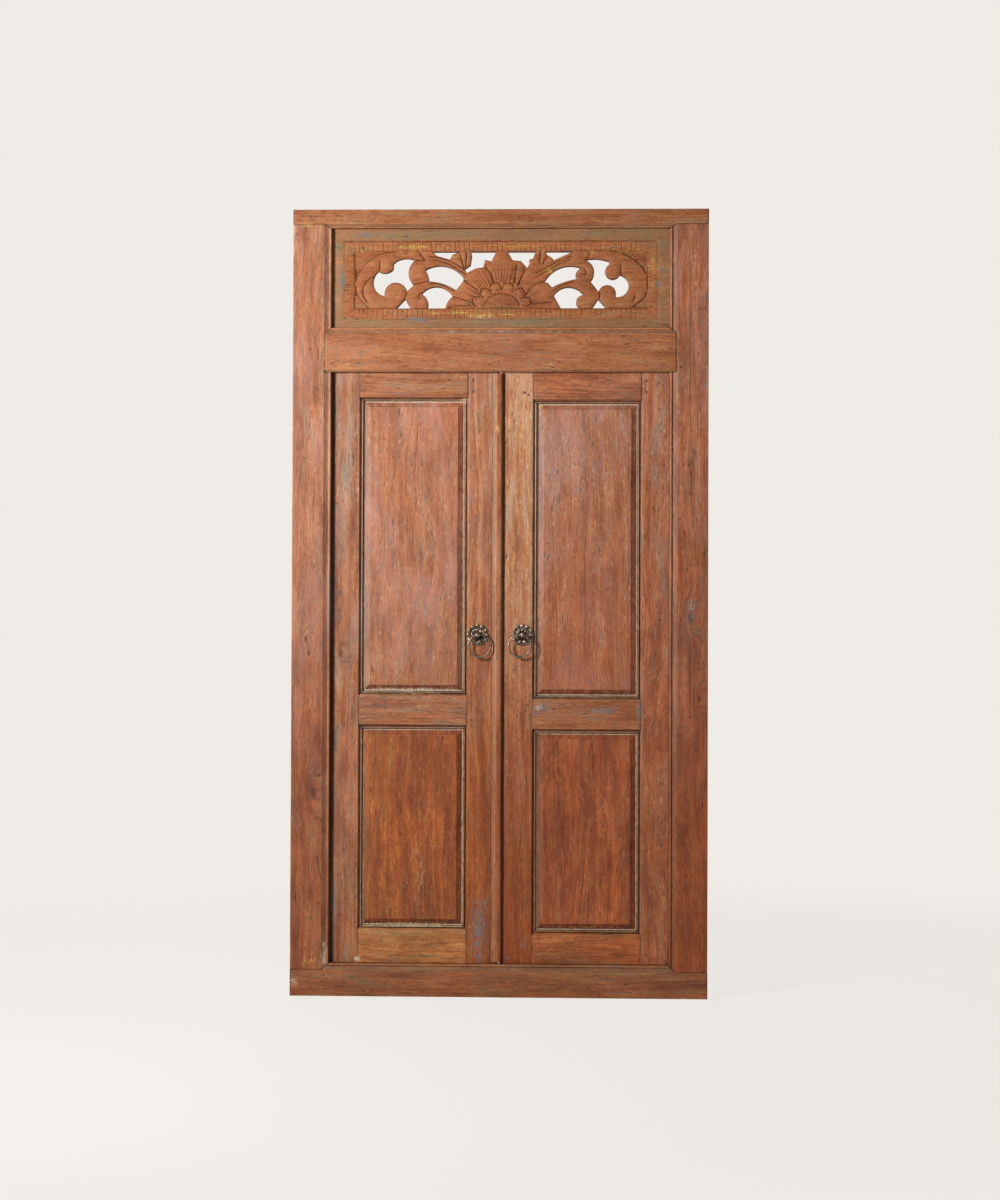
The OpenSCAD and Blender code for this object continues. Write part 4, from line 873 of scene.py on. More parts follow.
def makeLeaf(side, label):
    f = leafSizes
    body = label + "_leaf"
    front, back, stick, drop, tuck = [f[key] for key in ("front", "back", "stick", "drop", "tuck")]
    # the shoulders of the stiles and rails, inside their mouldings
    hinge = min(abs(edge) for edge in span(label + "_hinge_stile", 0, stick))
    meet = max(abs(edge) for edge in span(label + "_meeting_stile", 0, stick))
    rails = {
        "top": (span(label + "_top_rail", 2, stick)[0], f["high"]),
        "mid": span(label + "_mid_rail", 2, stick),
        "bottom": (f["low"], span(label + "_bottom_rail", 2, stick)[1]),
    }
    seed = 20 if side < 0 else 30
    spans = [(rails["mid"][1], rails["top"][0]), (rails["bottom"][1], rails["mid"][0])]
    looks = leafTones[label]

    def stileStrips(sight, shoulder, start):
        away = 1 if shoulder > sight else -1
        inside = shoulder + away * tuck
        behind = [(inside, front + tuck), (inside, back), (sight, back)]
        made = []
        for k, (low, high) in enumerate(spans):
            made.append(mouldStrip(sight, shoulder, front, drop, behind, (low + stick, low),
                                   (high - stick, high), 2, start + 0.3 * k))
        return made

    across = sorted((side * hinge, side * f["hinge"]))
    cuts = (1, 0.7, 0, 1) if side < 0 else (0.7, 1, 1, 0)
    # painted shadow beside the jamb, wider on the left where the lip shades the stile
    lipShadowAt = f["lipShadowFrom"][label]
    shells = [bar(across, (front, back), (f["low"], f["high"]), 2, seed, cuts, cut=f["arris"],
                  sunk=lambda u, v: min(max((abs(u) - lipShadowAt) / 0.013, 0.0), 1.0))]
    shells += stileStrips(side * (hinge - stick), side * hinge, seed + 0.2)
    wood = woodMaterial(label + "_hinge_stile_teak", 2, seed, pith=(-side * 0.44, 0.09),
                        knots=f["knots"][label], **looks["hinge"])
    makePiece(label + "_hinge_stile_visual", shells, body, wood, [label + "_hinge_stile"])

    corners = [(side * f["meetFront"], front, 1), (side * meet, front, 0.7), (side * meet, back, 0),
               (side * f["meetBack"], back, 0.7)]
    shells = [loft(corners, lambda u: f["low"], lambda u: f["high"], 2, seed + 1, cut=f["arris"])]
    shells += stileStrips(side * (meet + stick), side * meet, seed + 1.2)
    wood = woodMaterial(label + "_meeting_stile_teak", 2, seed + 1, pith=(-side * 0.02, 0.07),
                        **looks["meet"])
    makePiece(label + "_meeting_stile_visual", shells, body, wood, [label + "_meeting_stile"])

    ends = sorted((side * meet, side * hinge))
    sights = sorted((side * (meet + stick), side * (hinge - stick)))
    for k, (name, (low, high)) in enumerate(rails.items()):
        lowCut = 0.7 if name != "bottom" else 1
        highCut = 0.7 if name != "top" else 1
        backLow = 0 if name != "bottom" else 1
        backHigh = 0 if name != "top" else 1
        cuts = (lowCut, highCut, backHigh, backLow)
        shells = [bar((low, high), (front, back), ends, 0, seed + 2 + k, cuts, cut=f["arris"])]
        starts, stops = (sights[0], ends[0]), (sights[1], ends[1])
        if name != "bottom":
            behind = [(low + tuck, front + tuck), (low + tuck, back), (low - stick, back)]
            shells.append(mouldStrip(low - stick, low, front, drop, behind, starts, stops, 0,
                                     seed + 2.3 + k))
        if name != "top":
            behind = [(high - tuck, front + tuck), (high - tuck, back), (high + stick, back)]
            shells.append(mouldStrip(high + stick, high, front, drop, behind, starts, stops, 0,
                                     seed + 2.6 + k))
        wood = woodMaterial(label + "_" + name + "_rail_teak", 0, seed + 2 + k, pith=(0.05 - low, 0.08),
                            **looks[name])
        makePiece(label + "_" + name + "_rail_visual", shells, body, wood,
                  [label + "_" + name + "_rail"])

    for k, (name, (low, high)) in enumerate(zip(("upper", "lower"), spans)):
        shell = raisedPanel(sights, (low + stick, high - stick), seed + 6 + k)
        wood = woodMaterial(label + "_" + name + "_panel_teak", 2, seed + 6 + k,
                            pith=(-side * (0.20 if name == "upper" else 0.24), 0.05), **looks[name])
        makePiece(label + "_" + name + "_panel_visual", [shell], body, wood,
                  [label + "_" + name + "_panel"])


makeLeaf(-1, "left")
makeLeaf(1, "right")
print("leaves made")

strip = {
    "face": -0.0085,
    "z": span("cover_strip", 2),
    # across and how far out from the face, in mm: a long slope on the left, a short steep one on the right
    "section": [(-21.5, 0), (-21.4, 2.6), (-20.4, 4.4), (-18.4, 5.9), (-15.2, 8.1), (-12.2, 10.3),
                (-10.3, 11.6), (-8.2, 12.3), (-4.5, 12.5), (-1.0, 12.45), (1.6, 12.1), (3.4, 11.1),
                (5.4, 9.0), (8.0, 6.2), (10.4, 4.0), (12.0, 2.4), (12.4, 1.2), (12.5, 0)],
}


def makeCoverStrip():
    section = [(x * mm, strip["face"] - out * mm, 0) for x, out in strip["section"]]
    low, high = strip["z"]
    points, faces = loft(section, lambda u: low, lambda u: high, 2, 41, chips=0, wave=0.5 * mm)[:2]
    across = points[:, 0] / mm
    worn = np.clip(1.2 - np.abs(np.abs(across + 4) - 6.5) / 2.5, 0, 1)
    # painted shade on the right slope, which faces away from the light, and at the foot of the left slope
    sunk = np.clip((across - 4.5) / 4, 0, 0.9) + np.clip((-18.8 - across) / 2, 0, 0.9)
    # the left slope is painted paler, as lit from the left
    dull = np.clip((-9.5 - across) / 3, 0, 1.3)
    wood = woodMaterial("cover_strip_teak", 2, 41, pith=(0.02, 0.03), **leafTones["strip"])
    shell = (points, faces, worn, sunk, {"dull": dull})
    makePiece("cover_strip_visual", [shell], "left_leaf", wood, ["cover_strip"])


makeCoverStrip()


# the pattern is drawn in mm, across from the middle and up from the foot of the pierced field
carving = {
    "front": span("carved_panel", 1)[0],
    "back": span("carved_panel", 1)[1],
    "foot": 1.836,
    "look": {"tone": (0.76, 0.62, 0.39), "grey": 0.4, "pink": 0.2, "fleck": 0.25, "contrast": 0.8,
             "mottled": 0.4},
    "board": (459, -60, 221),       # half width, lowest and highest edge
    "border": (419, -27, 180),
    "field": (392, 0, 155),
    "grid": 2,                      # distance between points of the carved surface
    "pillow": (-3.4, 2.7, 13),      # depth along a cut, rise beside it, and how wide that rise is
    "cut": (1.3, 2.0),              # further depth and half width of a cut line
    "ground": -5.4,                 # depth of the sunk corners
    "knife": 0.25,                  # unevenness left by the knife
    "outlineStep": 2.2,             # distance between points along the openings
    "cutStep": 2.0,
    "coarse": 8,                    # distance between points of the plain margin
    # short cuts outside the upper scrolls: first step along the scroll, last step, steps between
    "hatching": {"leftTop": (14, 34, 2), "rightTop": (22, 40, 4)},
    "notches": {"lying": (12, 14), "standing": (8, 10)},      # gaps between the notches of the border
}
# openings: corners [across, up, bow of the edge to the next corner]
pierced = [
    [[-230, 130, -9], [-287, 122, 0], [-288, 107, 8], [-328, 101, -22], [-311, 34, 30], [-251, 47, 0],
     [-233, 63, 15.5]],
    [[-202, 104, 21], [-99, 82, 0], [-101, 73, 0], [-119, 50, -5], [-193, 74, -3]],
    [[-212, 39, 23], [-129, 33, -3.5], [-148, 1, 0], [-196, 1, -8.5]],
    [[-256, 26, 0], [-242, 1, 0], [-280, 1, 0]],
    [[-181, 153, 0], [-109, 153, 0], [-129, 145, 0], [-136, 132, 0], [-172, 142, 0]],
    [[-79, 153, 0], [-12, 153, 0], [-25, 127, 0], [-42, 131, 0], [-47, 111, 0], [-68, 108, 0],
     [-90, 96, 0], [-97, 106, 0], [-81, 117, 0], [-77, 142, 0]],
    [[19, 153, 0], [93, 153, 0], [86, 134, 0], [76, 131, 0], [77, 121, 0], [71, 109, 0], [54, 128, 0],
     [32, 130, 0]],
    [[121, 153, 0], [194, 153, 0], [142, 130, 0], [137, 137, 0], [124, 144, 0]],
    [[117, 71, 21], [217, 108, -8], [202, 79, -3], [137, 57, 0], [127, 69, 0]],
    [[142, 35, 22], [221, 36, -13], [209, 1, 0], [161, 1, 0]],
    [[225, 130, 5], [289, 126, 0], [291, 118, -27.5], [318, 90, 29.5], [307, 31, -25], [262, 45, 0],
     [240, 73, -17]],
    [[261, 25, 0], [281, 1, 0], [245, 1, 0]]]
# the four sunk corners, each bounded by the outer edge of a scroll
scrollEdges = {
    "leftTop": [(-283, 153), (-320, 148), (-338, 137), (-354, 127), (-370, 110), (-383, 92), (-388, 72)],
    "leftFoot": [(-388, 60), (-386, 46), (-382, 36), (-374, 23), (-362, 11), (-352, 3)],
    "rightTop": [(292, 154), (321, 150), (342, 140), (362, 127), (379, 110), (389, 94)],
    "rightFoot": [(390, 44), (383, 28), (369, 16), (354, 4)],
}
cornerOf = {"leftTop": (-393, 156), "leftFoot": (-393, -1), "rightTop": (393, 156), "rightFoot": (393, -1)}
# knife lines along the scrolls, leaves and petals
cutLines = [
    [(-341, 87), (-356, 76), (-365, 63), (-369, 48), (-366, 33), (-358, 20)],
    [(-324, 127), (-324, 104)], [(-226, 130), (-204, 130), (-211, 141), (-215, 150)],
    [(-230, 65), (-208, 70), (-190, 76)], [(-251, 47), (-253, 36), (-256, 26)],
    [(-216, 28), (-217, 38), (-212, 45), (-206, 42)],
    [(-188, 141), (-159, 135), (-128, 125), (-90, 99)], [(-180, 133), (-159, 127), (-130, 116), (-93, 92)],
    [(-190, 68), (-160, 66), (-125, 48)],
    [(322, 117), (322, 92)], [(228, 133), (236, 141), (238, 150)],
    [(223, 106), (230, 98), (225, 90)], [(242, 73), (254, 55), (265, 46), (265, 24)],
    [(225, 41), (214, 44), (205, 38), (204, 26)],
    [(190, 141), (160, 130), (125, 111), (96, 96)], [(186, 132), (160, 121), (128, 102), (103, 89)],
    [(195, 73), (165, 62), (140, 47)], [(360, 34), (355, 17)],
    [(-90, 152), (-94, 108)], [(-108, 145), (-97, 106)], [(108, 153), (104, 121)], [(126, 141), (113, 120)],
    # the flower: petals, then the bead ring and the half disc
    [(-40, 118), (-37, 108), (-27, 96), (-21, 81), (-18, 69)], [(44, 116), (42, 108), (39, 90), (38, 70)],
    [(67, 106), (57, 84), (47, 61)], [(122, 75), (96, 67), (78, 52), (69, 38)],
    [(139, 17), (106, 15), (84, 13)], [(-96, 75), (-77, 61), (-55, 40)],
    [(-126, 32), (-98, 25), (-73, 17)], [(-140, 4), (-110, 8), (-78, 8)],
]
# swellings of the flower's bead ring and of the scrolls: (across, up, radius)
beads = [(-62, 20, 13), (-40, 42, 13), (-12, 55, 15), (21, 55, 15), (52, 41, 14), (71, 19, 12)]
halfDisc = (4, 3, 47, 38)           # its middle, half width and height
buds = [(-281, 40, 28), (-308, 118, 19), (-219, 99, 24), (-203, 25, 16), (285, 38, 26), (298, 101, 18),
        (233, 98, 22), (232, 24, 24), (203, 104, 12)]


def bowed(corners, step):
    # the outline with its bows drawn out, in short steps
    out = []
    for i, (x, z, s) in enumerate(corners):
        p = np.array((x, z), float)
        q = np.array(corners[(i + 1) % len(corners)][:2], float)
        long = np.linalg.norm(q - p)
        left = np.array((-(q - p)[1], (q - p)[0])) / long
        count = max(2, int(round(long / step)))
        if abs(s) > 0.1:
            r = (long * long / 4 + s * s) / (2 * abs(s))
            middle = (p + q) / 2 + left * (s - math.copysign(r, s))
            turn = 4 * math.atan(2 * abs(s) / long)
            count = max(2, int(round(turn * r / step)))
            first = math.atan2(*(p - middle)[::-1])
            angles = first - math.copysign(1, s) * turn * np.arange(count) / count
            out += [middle + r * np.array((math.cos(a), math.sin(a))) for a in angles]
        else:
            out += [p + (q - p) * k / count for k in range(count)]
    return np.array(out)


def drawnOut(line, step):
    # a smooth curve through the points, in short steps
    line = np.array(line, float)
    if len(line) > 2:
        ends = np.concatenate([[2 * line[0] - line[1]], line, [2 * line[-1] - line[-2]]])
        curve = []
        for i in range(len(line) - 1):
            a, b, c, d = ends[i:i + 4]
            for t in np.linspace(0, 1, 8, endpoint=False):
                curve.append(0.5 * (2 * b + (c - a) * t + (2 * a - 5 * b + 4 * c - d) * t * t
                                    + (3 * b - a - 3 * c + d) * t ** 3))
        line = np.array(curve + [line[-1]])
    gaps = np.linalg.norm(np.diff(line, axis=0), axis=1)
    run = np.concatenate([[0], np.cumsum(gaps)])
    spots = np.linspace(0, run[-1], max(3, int(run[-1] / step) + 1))
    return np.stack([np.interp(spots, run, line[:, 0]), np.interp(spots, run, line[:, 1])], 1)


def awayFrom(points, lines, closed=False):
    # distance of each point to the nearest of some lines
    best = np.full(len(points), 1e9)
    for line in lines:
        nexts = np.roll(line, -1, 0) if closed else line[1:]
        for a, b in zip(line, nexts):
            d = b - a
            t = np.clip(((points - a) @ d) / max(d @ d, 1e-9), 0, 1)
            best = np.minimum(best, np.hypot(*(points - a - t[:, None] * d).T))
    return best


def insideOf(points, outline):
    x, z = points.T
    inside = np.zeros(len(points), bool)
    for (ax, az), (bx, bz) in zip(outline, np.roll(outline, -1, 0)):
        crosses = (az > z) != (bz > z)
        inside ^= crosses & (x < (bx - ax) * (z - az) / ((bz - az) or 1e-9) + ax)
    return inside


def carvedDepth(points, holes, cuts, corners, hatch):
    # depth behind the board's front face, in mm, and how much painted shade and grime each point gets
    x, z = points.T
    spots = np.stack([x, 0 * x, z], 1)
    depth = -0.5 * lumps(spots, (90, 1, 22), 51)
    notched = np.zeros(len(x), bool)
    borderX, borderLow, borderHigh = carving["border"]
    fieldX, fieldLow, fieldHigh = carving["field"]
    outward = np.maximum(np.abs(x) - borderX, np.maximum(borderLow - z, z - borderHigh))
    toField = np.maximum(np.abs(x) - fieldX, np.maximum(fieldLow - z, z - fieldHigh))
    band = (outward < 0) & (toField >= 0)
    share = np.clip(1 - toField / 26, 0, 1)
    depth = np.where(band, -0.5 - 2.2 * share ** 1.5, depth)
    # notches across the border, spaced as given
    draw = np.random.RandomState(5)
    sideways = np.abs(x) - fieldX > np.maximum(fieldLow - z, z - fieldHigh)
    gaps = carving["notches"]
    for along, across, low, high, pitches in ((x, ~sideways, -390, 390, gaps["lying"]),
                                              (z, sideways, 0, 156, gaps["standing"])):
        at = low
        while at < high:
            deep = 0.7 + 0.9 * draw.rand()
            reach = 0.25 + 0.5 * draw.rand()
            hit = band & across & (np.abs(along - at) < 0.9) & (share > reach * draw.randint(0, 2))
            depth = np.where(hit, depth - deep, depth)
            notched |= hit
            at += pitches[draw.randint(2)]
    inField = toField < 0
    low, rise, wide = carving["pillow"]
    near = np.minimum(awayFrom(points, holes, True), awayFrom(points, cuts))
    pillow = low + rise * np.sqrt(np.clip(near / wide, 0, 1))
    for cx, cz, r in buds + beads:
        pillow += 0.75 * np.sqrt(np.clip(1 - ((x - cx) ** 2 + (z - cz) ** 2) / r ** 2, 0, 1))
    # flutes of the petals
    fromX, fromZ = x - 4, z + 2
    radius, angle = np.hypot(fromX, fromZ), np.arctan2(fromX, fromZ)
    flute = np.clip(np.cos(angle * 62 + 2.2 * np.sin(angle * 9)), 0, 1) ** 2
    fade = np.clip((radius - 66) / 6, 0, 1) * np.clip((122 - radius) / 34, 0, 1)
    pillow -= 1.5 * flute * fade
    dx, dz, rx, rz = halfDisc
    disc = np.hypot((x - dx) / rx, (z - dz) / rz) < 1
    hatched = ((np.round(x / 2) % 3) == 0) | ((np.round(z / 2) % 3) == 0)
    pillow = np.where(disc & (z > 3), -1.9 - 0.55 * hatched, pillow)
    for outline in corners:
        pillow = np.where(insideOf(points, outline), carving["ground"], pillow)
    depth = np.where(inField, pillow, depth)
    deepCut, wideCut = carving["cut"]
    depth -= deepCut * np.clip(1 - awayFrom(points, cuts + hatch) / wideCut, 0, 1) * inField
    frameLine = np.minimum(np.abs(outward), np.abs(toField) + 0.2)
    depth -= 1.5 * np.clip(1 - frameLine / 1.7, 0, 1)
    mitre = np.abs((np.abs(x) - fieldX) - np.maximum(fieldLow - z, z - fieldHigh))
    depth -= 1.3 * np.clip(1 - mitre / 1.6, 0, 1) * band
    depth -= carving["knife"] * 2 * lumps(spots, (9, 1, 4), 57) * (outward < 0)
    # painted shade and grime along the cuts, openings, flutes, notches and sunk ground
    sunk = np.clip(1 - near / 3.5, 0, 1) * 0.75 * inField
    sunk = np.maximum(sunk, np.clip(1 - frameLine / 2.2, 0, 1) * 0.8)
    sunk = np.maximum(sunk, 0.45 * (depth < -4.6))
    sunk = np.maximum(sunk, 0.45 * notched)
    sunk = np.maximum(sunk, 0.9 * flute * fade * inField)
    sunk = np.maximum(sunk, 0.6 * (disc & hatched & (z > 3)))
    dull = np.where(outward > 0, 1.4, 0.38)
    return np.minimum(depth, 0), sunk, dull


def makeCarvedPanel():
    c = carving
    grid = c["grid"]
    step, coarse = c["cutStep"], c["coarse"]
    holes = [bowed(outline, c["outlineStep"]) for outline in pierced]
    edges = {key: drawnOut(line, step) for key, line in scrollEdges.items()}
    corners = [np.concatenate([line, [cornerOf[key]]]) for key, line in edges.items()]
    cuts = [drawnOut(line, step) for line in cutLines] + list(edges.values())
    for cx, cz, r in beads:
        turn = np.linspace(-1.9, 1.9, 14) + math.atan2(cx - 4, cz - 2)
        cuts.append(np.stack([cx + r * np.sin(turn), cz + r * np.cos(turn)], 1))
    turn = np.linspace(-1.5, 1.5, 50)
    cuts.append(np.stack([halfDisc[0] + halfDisc[2] * np.sin(turn),
                          halfDisc[1] + halfDisc[3] * np.cos(turn)], 1))
    hatch = []
    for key, (first, last, gap) in c["hatching"].items():
        line = edges[key]
        for k in range(first, min(last, len(line) - 1), gap):
            way = line[k + 1] - line[k - 1]
            out = np.array((way[1], -way[0])) / np.linalg.norm(way)
            out *= 1 if np.dot(out, np.array(cornerOf[key]) - line[k]) > 0 else -1
            hatch.append(drawnOut([line[k] + 2 * out, line[k] + 13 * out], step))
    half, low, high = c["board"]
    borderX, borderLow, borderHigh = c["border"]
    # close rows over the carving, wide ones over the plain margin
    dense = np.arange(-borderX - 1, borderX + 2, grid)
    before, after = np.arange(-half, -borderX - 4, coarse), np.arange(borderX + 6, half, coarse)
    xs = np.concatenate([before, dense, after, [half]])
    dense = np.arange(borderLow - 1, borderHigh + 2, grid)
    before, after = np.arange(low, borderLow - 4, coarse), np.arange(borderHigh + 6, high, coarse)
    zs = np.concatenate([before, dense, after, [high]])
    gx, gz = np.meshgrid(xs, zs, indexing="ij")
    points = np.stack([gx.reshape(-1), gz.reshape(-1)], 1)
    clear = awayFrom(points, holes, True) > 0.9
    inHole = np.zeros(len(points), bool)
    for hole in holes:
        inHole |= insideOf(points, hole)
    cutPoints = np.concatenate(cuts + hatch)
    inCut = np.zeros(len(cutPoints), bool)
    for hole in holes:
        inCut |= insideOf(cutPoints, hole)
    cutPoints = cutPoints[~inCut & (awayFrom(cutPoints, holes, True) > 1.0)]
    clear &= awayFrom(points, cuts + hatch) > 0.85
    loops = np.concatenate(holes)
    rim = np.array([(-half, low), (half, low), (half, high), (-half, high)], float)
    inner = points[clear & ~inHole]
    onRim = (np.abs(np.abs(inner[:, 0]) - half) < 0.1) & ((np.abs(inner[:, 1] - low) < 0.1)
                                                         | (np.abs(inner[:, 1] - high) < 0.1))
    allPoints = np.concatenate([loops, rim, inner[~onRim], cutPoints])
    segments, start = [], 0
    for hole in holes:
        segments += [(start + k, start + (k + 1) % len(hole)) for k in range(len(hole))]
        start += len(hole)
    segments += [(start + k, start + (k + 1) % 4) for k in range(4)]

    def triangles(spots, links):
        made = delaunay_2d_cdt([tuple(p) for p in spots], links, [], 0, 1e-5)
        flat = np.array([tuple(v) for v in made[0]])
        tris = np.array([f for f in made[2] if len(f) == 3])
        middle = flat[tris].mean(1)
        keep = np.ones(len(tris), bool)
        for hole in holes:
            keep &= ~insideOf(middle, hole)
        return flat, tris[keep]

    flat, tris = triangles(allPoints, segments)
    depth, sunk, dull = carvedDepth(flat, holes, cuts, corners, hatch)
    front = np.stack([flat[:, 0] * mm, c["front"] - depth * mm, c["foot"] + flat[:, 1] * mm], 1)
    backFlat, backTris = triangles(np.concatenate([loops, rim]), segments)
    back = np.stack([backFlat[:, 0] * mm, np.full(len(backFlat), c["back"]),
                     c["foot"] + backFlat[:, 1] * mm], 1)
    faces = [tuple(int(v) for v in t) for t in tris]
    faces += [tuple(int(v) + len(front) for v in t[::-1]) for t in backTris]
    # walls of the openings join the front to the back
    start = 0
    for loop in holes:
        count = len(loop)
        for k in range(count):
            a, b = start + k, start + (k + 1) % count
            faces.append((a, b, b + len(front), a + len(front)))
        start += count
    # the board's edge, in order round the middle
    acrossEdge = np.abs(np.abs(flat[:, 0]) - half) < 0.05
    upEdge = np.minimum(np.abs(flat[:, 1] - low), np.abs(flat[:, 1] - high)) < 0.05
    ring = sorted(np.flatnonzero(acrossEdge | upEdge).tolist(),
                  key=lambda i: math.atan2(*(flat[i] - (0, 80))))
    base = len(front) + len(back)
    skirt = front[ring].copy()
    skirt[:, 1] = c["back"]
    for k in range(len(ring)):
        n = (k + 1) % len(ring)
        faces.append((ring[k], ring[n], base + n, base + k))
    shellPoints = np.concatenate([front, back, skirt])
    # the carving is worn, the border and the margin aren't
    worn = np.zeros(len(shellPoints))
    worn[:len(front)] = np.clip((depth + 1.0) * 0.8, 0, 0.5) * (np.abs(flat[:, 1] - 77) < 77)
    marks = np.concatenate([sunk, np.full(len(back) + len(skirt), 0.2)])
    wood = woodMaterial("carved_teak", 0, 47, pith=(-1.80, 0.10), **c["look"])
    dull = np.concatenate([dull, np.full(len(back) + len(skirt), 0.4)])
    shell = (shellPoints, faces, worn, marks, {"dull": dull})
    makePiece("carved_panel_visual", [shell], "frame", wood, ["carved_panel"], sharp=32)


makeCarvedPanel()
print("carved panel made")


pegs = {
    "radius": 3.5, "proud": 0.35, "nailHole": 1.9,      # mm
    # (across, up) of the pegs in each body, in mm
    "frame": [(-509, 2079), (-532, 2083), (482, 1677)],
    "left": [(-72.5, 1646), (-72.5, 1614), (-391, 784), (-391, 737), (-74.5, 780), (-74.5, 735)],
    "right": [(65.5, 1611), (75.5, 1605), (390, 1643), (390, 1613), (76.5, 777), (390, 737)],
    "nailHoles": [(402, 28), (-300, 39), (-356, 15), (0, 2084), (310, 2079)],
    "look": {"tone": (0.55, 0.50, 0.50), "grey": 0.5, "pink": 0.2},
}


def pegShell(x, z, face, radius, seed, hole=False):
    # a turned peg end: a ragged rim a little proud of the wood, and a dished middle
    turn = np.linspace(0, 2 * math.pi, 22, endpoint=False)
    proud = pegs["proud"]
    # (share of the radius, how far out, how dark: painted shade and grime round the rim)
    profile = [(1.0, -2.0, 1.0), (1.0, 0.02, 1.0), (0.93, proud, 0.9), (0.80, proud * 0.8, 0.75),
               (0.70, 0.05, 0.55), (0.45, -0.02, 0.15), (0.2, 0.02, 0.1)]
    n = len(turn)
    rings, sunk = [], []
    for share, out, dark in profile:
        spots = np.stack([np.cos(turn) * 2, np.sin(turn) * 2, turn * 0], 1)
        r = radius * share * (1 + 0.07 * (lumps(spots, 1.0, seed) - 0.5))
        rings.append(np.stack([(x + r * np.cos(turn)) * mm, face - out * mm + 0 * turn,
                               (z + r * np.sin(turn)) * mm], 1))
        # a nail hole is drawn as a dark disc, painted shade standing for the hole
        sunk.append(np.full(n, 1.6 if hole else 1.5 * dark))
    middles = [[(x * mm, face, z * mm)], [(x * mm, face + 2.0 * mm, z * mm)]]
    points = np.concatenate(rings + middles)
    faces = []
    for j in range(len(profile) - 1):
        for i in range(n):
            k = (i + 1) % n
            faces.append((j * n + i, j * n + k, (j + 1) * n + k, (j + 1) * n + i))
    last = (len(profile) - 1) * n
    for i in range(n):
        k = (i + 1) % n
        faces.append((last + i, last + k, len(points) - 2))
        faces.append((k, i, len(points) - 1))
    sunk = np.concatenate(sunk + [[1.5 if hole else 0.1, 1]])
    return points, faces, 0 * sunk, sunk


def makePegs():
    for label, body, sizes in (("frame", "frame", frameSizes), ("left", "left_leaf", leafSizes),
                               ("right", "right_leaf", leafSizes)):
        face = sizes["front"] + 0.1 * mm
        shells = [pegShell(x, z, face, pegs["radius"], 60 + k) for k, (x, z) in enumerate(pegs[label])]
        if label == "frame":
            for k, (x, z) in enumerate(pegs["nailHoles"]):
                shells.append(pegShell(x, z, face, pegs["nailHole"], 70 + k, True))
        wood = woodMaterial(label + "_peg_teak", 2, 61, **pegs["look"])
        node = "frame_pegs" if label == "frame" else label + "_leaf_pegs"
        makePiece(node + "_visual", shells, body, wood, [node])


makePegs()
print("pegs made")


brass = {
    "dark": (0.022, 0.015, 0.011), "mid": (0.110, 0.074, 0.052), "bright": (0.500, 0.380, 0.285),
    "verdigris": (0.095, 0.085, 0.066), "roughness": (0.28, 0.60),
}
rust = {"dark": (0.026, 0.021, 0.019), "mid": (0.070, 0.052, 0.042), "rusty": (0.160, 0.066, 0.028)}


def brassMaterial(name, polish):
    # polish: how far the brown patina is rubbed back to bright metal
    material, tree, surface = newMaterial(name)
    place = addNode(tree, "ShaderNodeTexCoord").outputs["Object"]
    cloud = noise(tree, place, 90, 4.0, 0.65)
    grain = noise(tree, place, 900, 3.0, 0.6)
    edge = addNode(tree, "ShaderNodeNewGeometry").outputs["Pointiness"]
    rubbed = clamped(tree, maths(tree, "MULTIPLY_ADD", cloud, 0.12, edge), 0.545, 0.60, 0.0, polish)
    hollow = clamped(tree, edge, 0.49, 0.42)
    colour = mixed(tree, clamped(tree, cloud, 0.35, 0.70), rgb(brass["dark"]), rgb(brass["mid"]))
    colour = mixed(tree, rubbed, colour, rgb(brass["bright"]))
    green = maths(tree, "MULTIPLY", clamped(tree, cloud, 0.60, 0.75), 0.4)
    colour = mixed(tree, green, colour, rgb(brass["verdigris"]))
    colour = mixed(tree, maths(tree, "MULTIPLY", hollow, 0.8), colour, rgb(brass["dark"]))
    tree.links.new(colour, surface.inputs["Base Color"])
    surface.inputs["Metallic"].default_value = 0.85
    low, high = brass["roughness"]
    tree.links.new(clamped(tree, grain, 0.3, 0.7, low, high), surface.inputs["Roughness"])
    bump = addNode(tree, "ShaderNodeBump", {"Strength": 0.5, "Distance": 0.2 * mm,
                                            "Height": maths(tree, "MULTIPLY_ADD", cloud, 0.7, grain)})
    tree.links.new(bump.outputs[0], surface.inputs["Normal"])
    return material


def ironMaterial(name, rusty):
    # rusty: how far brown rust covers the dark skin
    material, tree, surface = newMaterial(name)
    place = addNode(tree, "ShaderNodeTexCoord").outputs["Object"]
    cloud = noise(tree, place, 70, 5.0, 0.65)
    grain = noise(tree, place, 1100, 3.0, 0.65)
    colour = mixed(tree, clamped(tree, cloud, 0.35, 0.65), rgb(rust["dark"]), rgb(rust["mid"]))
    spots = clamped(tree, maths(tree, "MULTIPLY_ADD", grain, 0.35, cloud), 0.66, 0.84, 0.0, rusty)
    colour = mixed(tree, spots, colour, rgb(rust["rusty"]))
    tree.links.new(colour, surface.inputs["Base Color"])
    metal = clamped(tree, spots, 0.0, 0.6, 0.85, 0.15)
    tree.links.new(metal, surface.inputs["Metallic"])
    tree.links.new(clamped(tree, grain, 0.3, 0.7, 0.42, 0.72), surface.inputs["Roughness"])
    bump = addNode(tree, "ShaderNodeBump", {"Strength": 0.6, "Distance": 0.25 * mm,
                                            "Height": maths(tree, "MULTIPLY_ADD", cloud, 0.6, grain)})
    tree.links.new(bump.outputs[0], surface.inputs["Normal"])
    return material


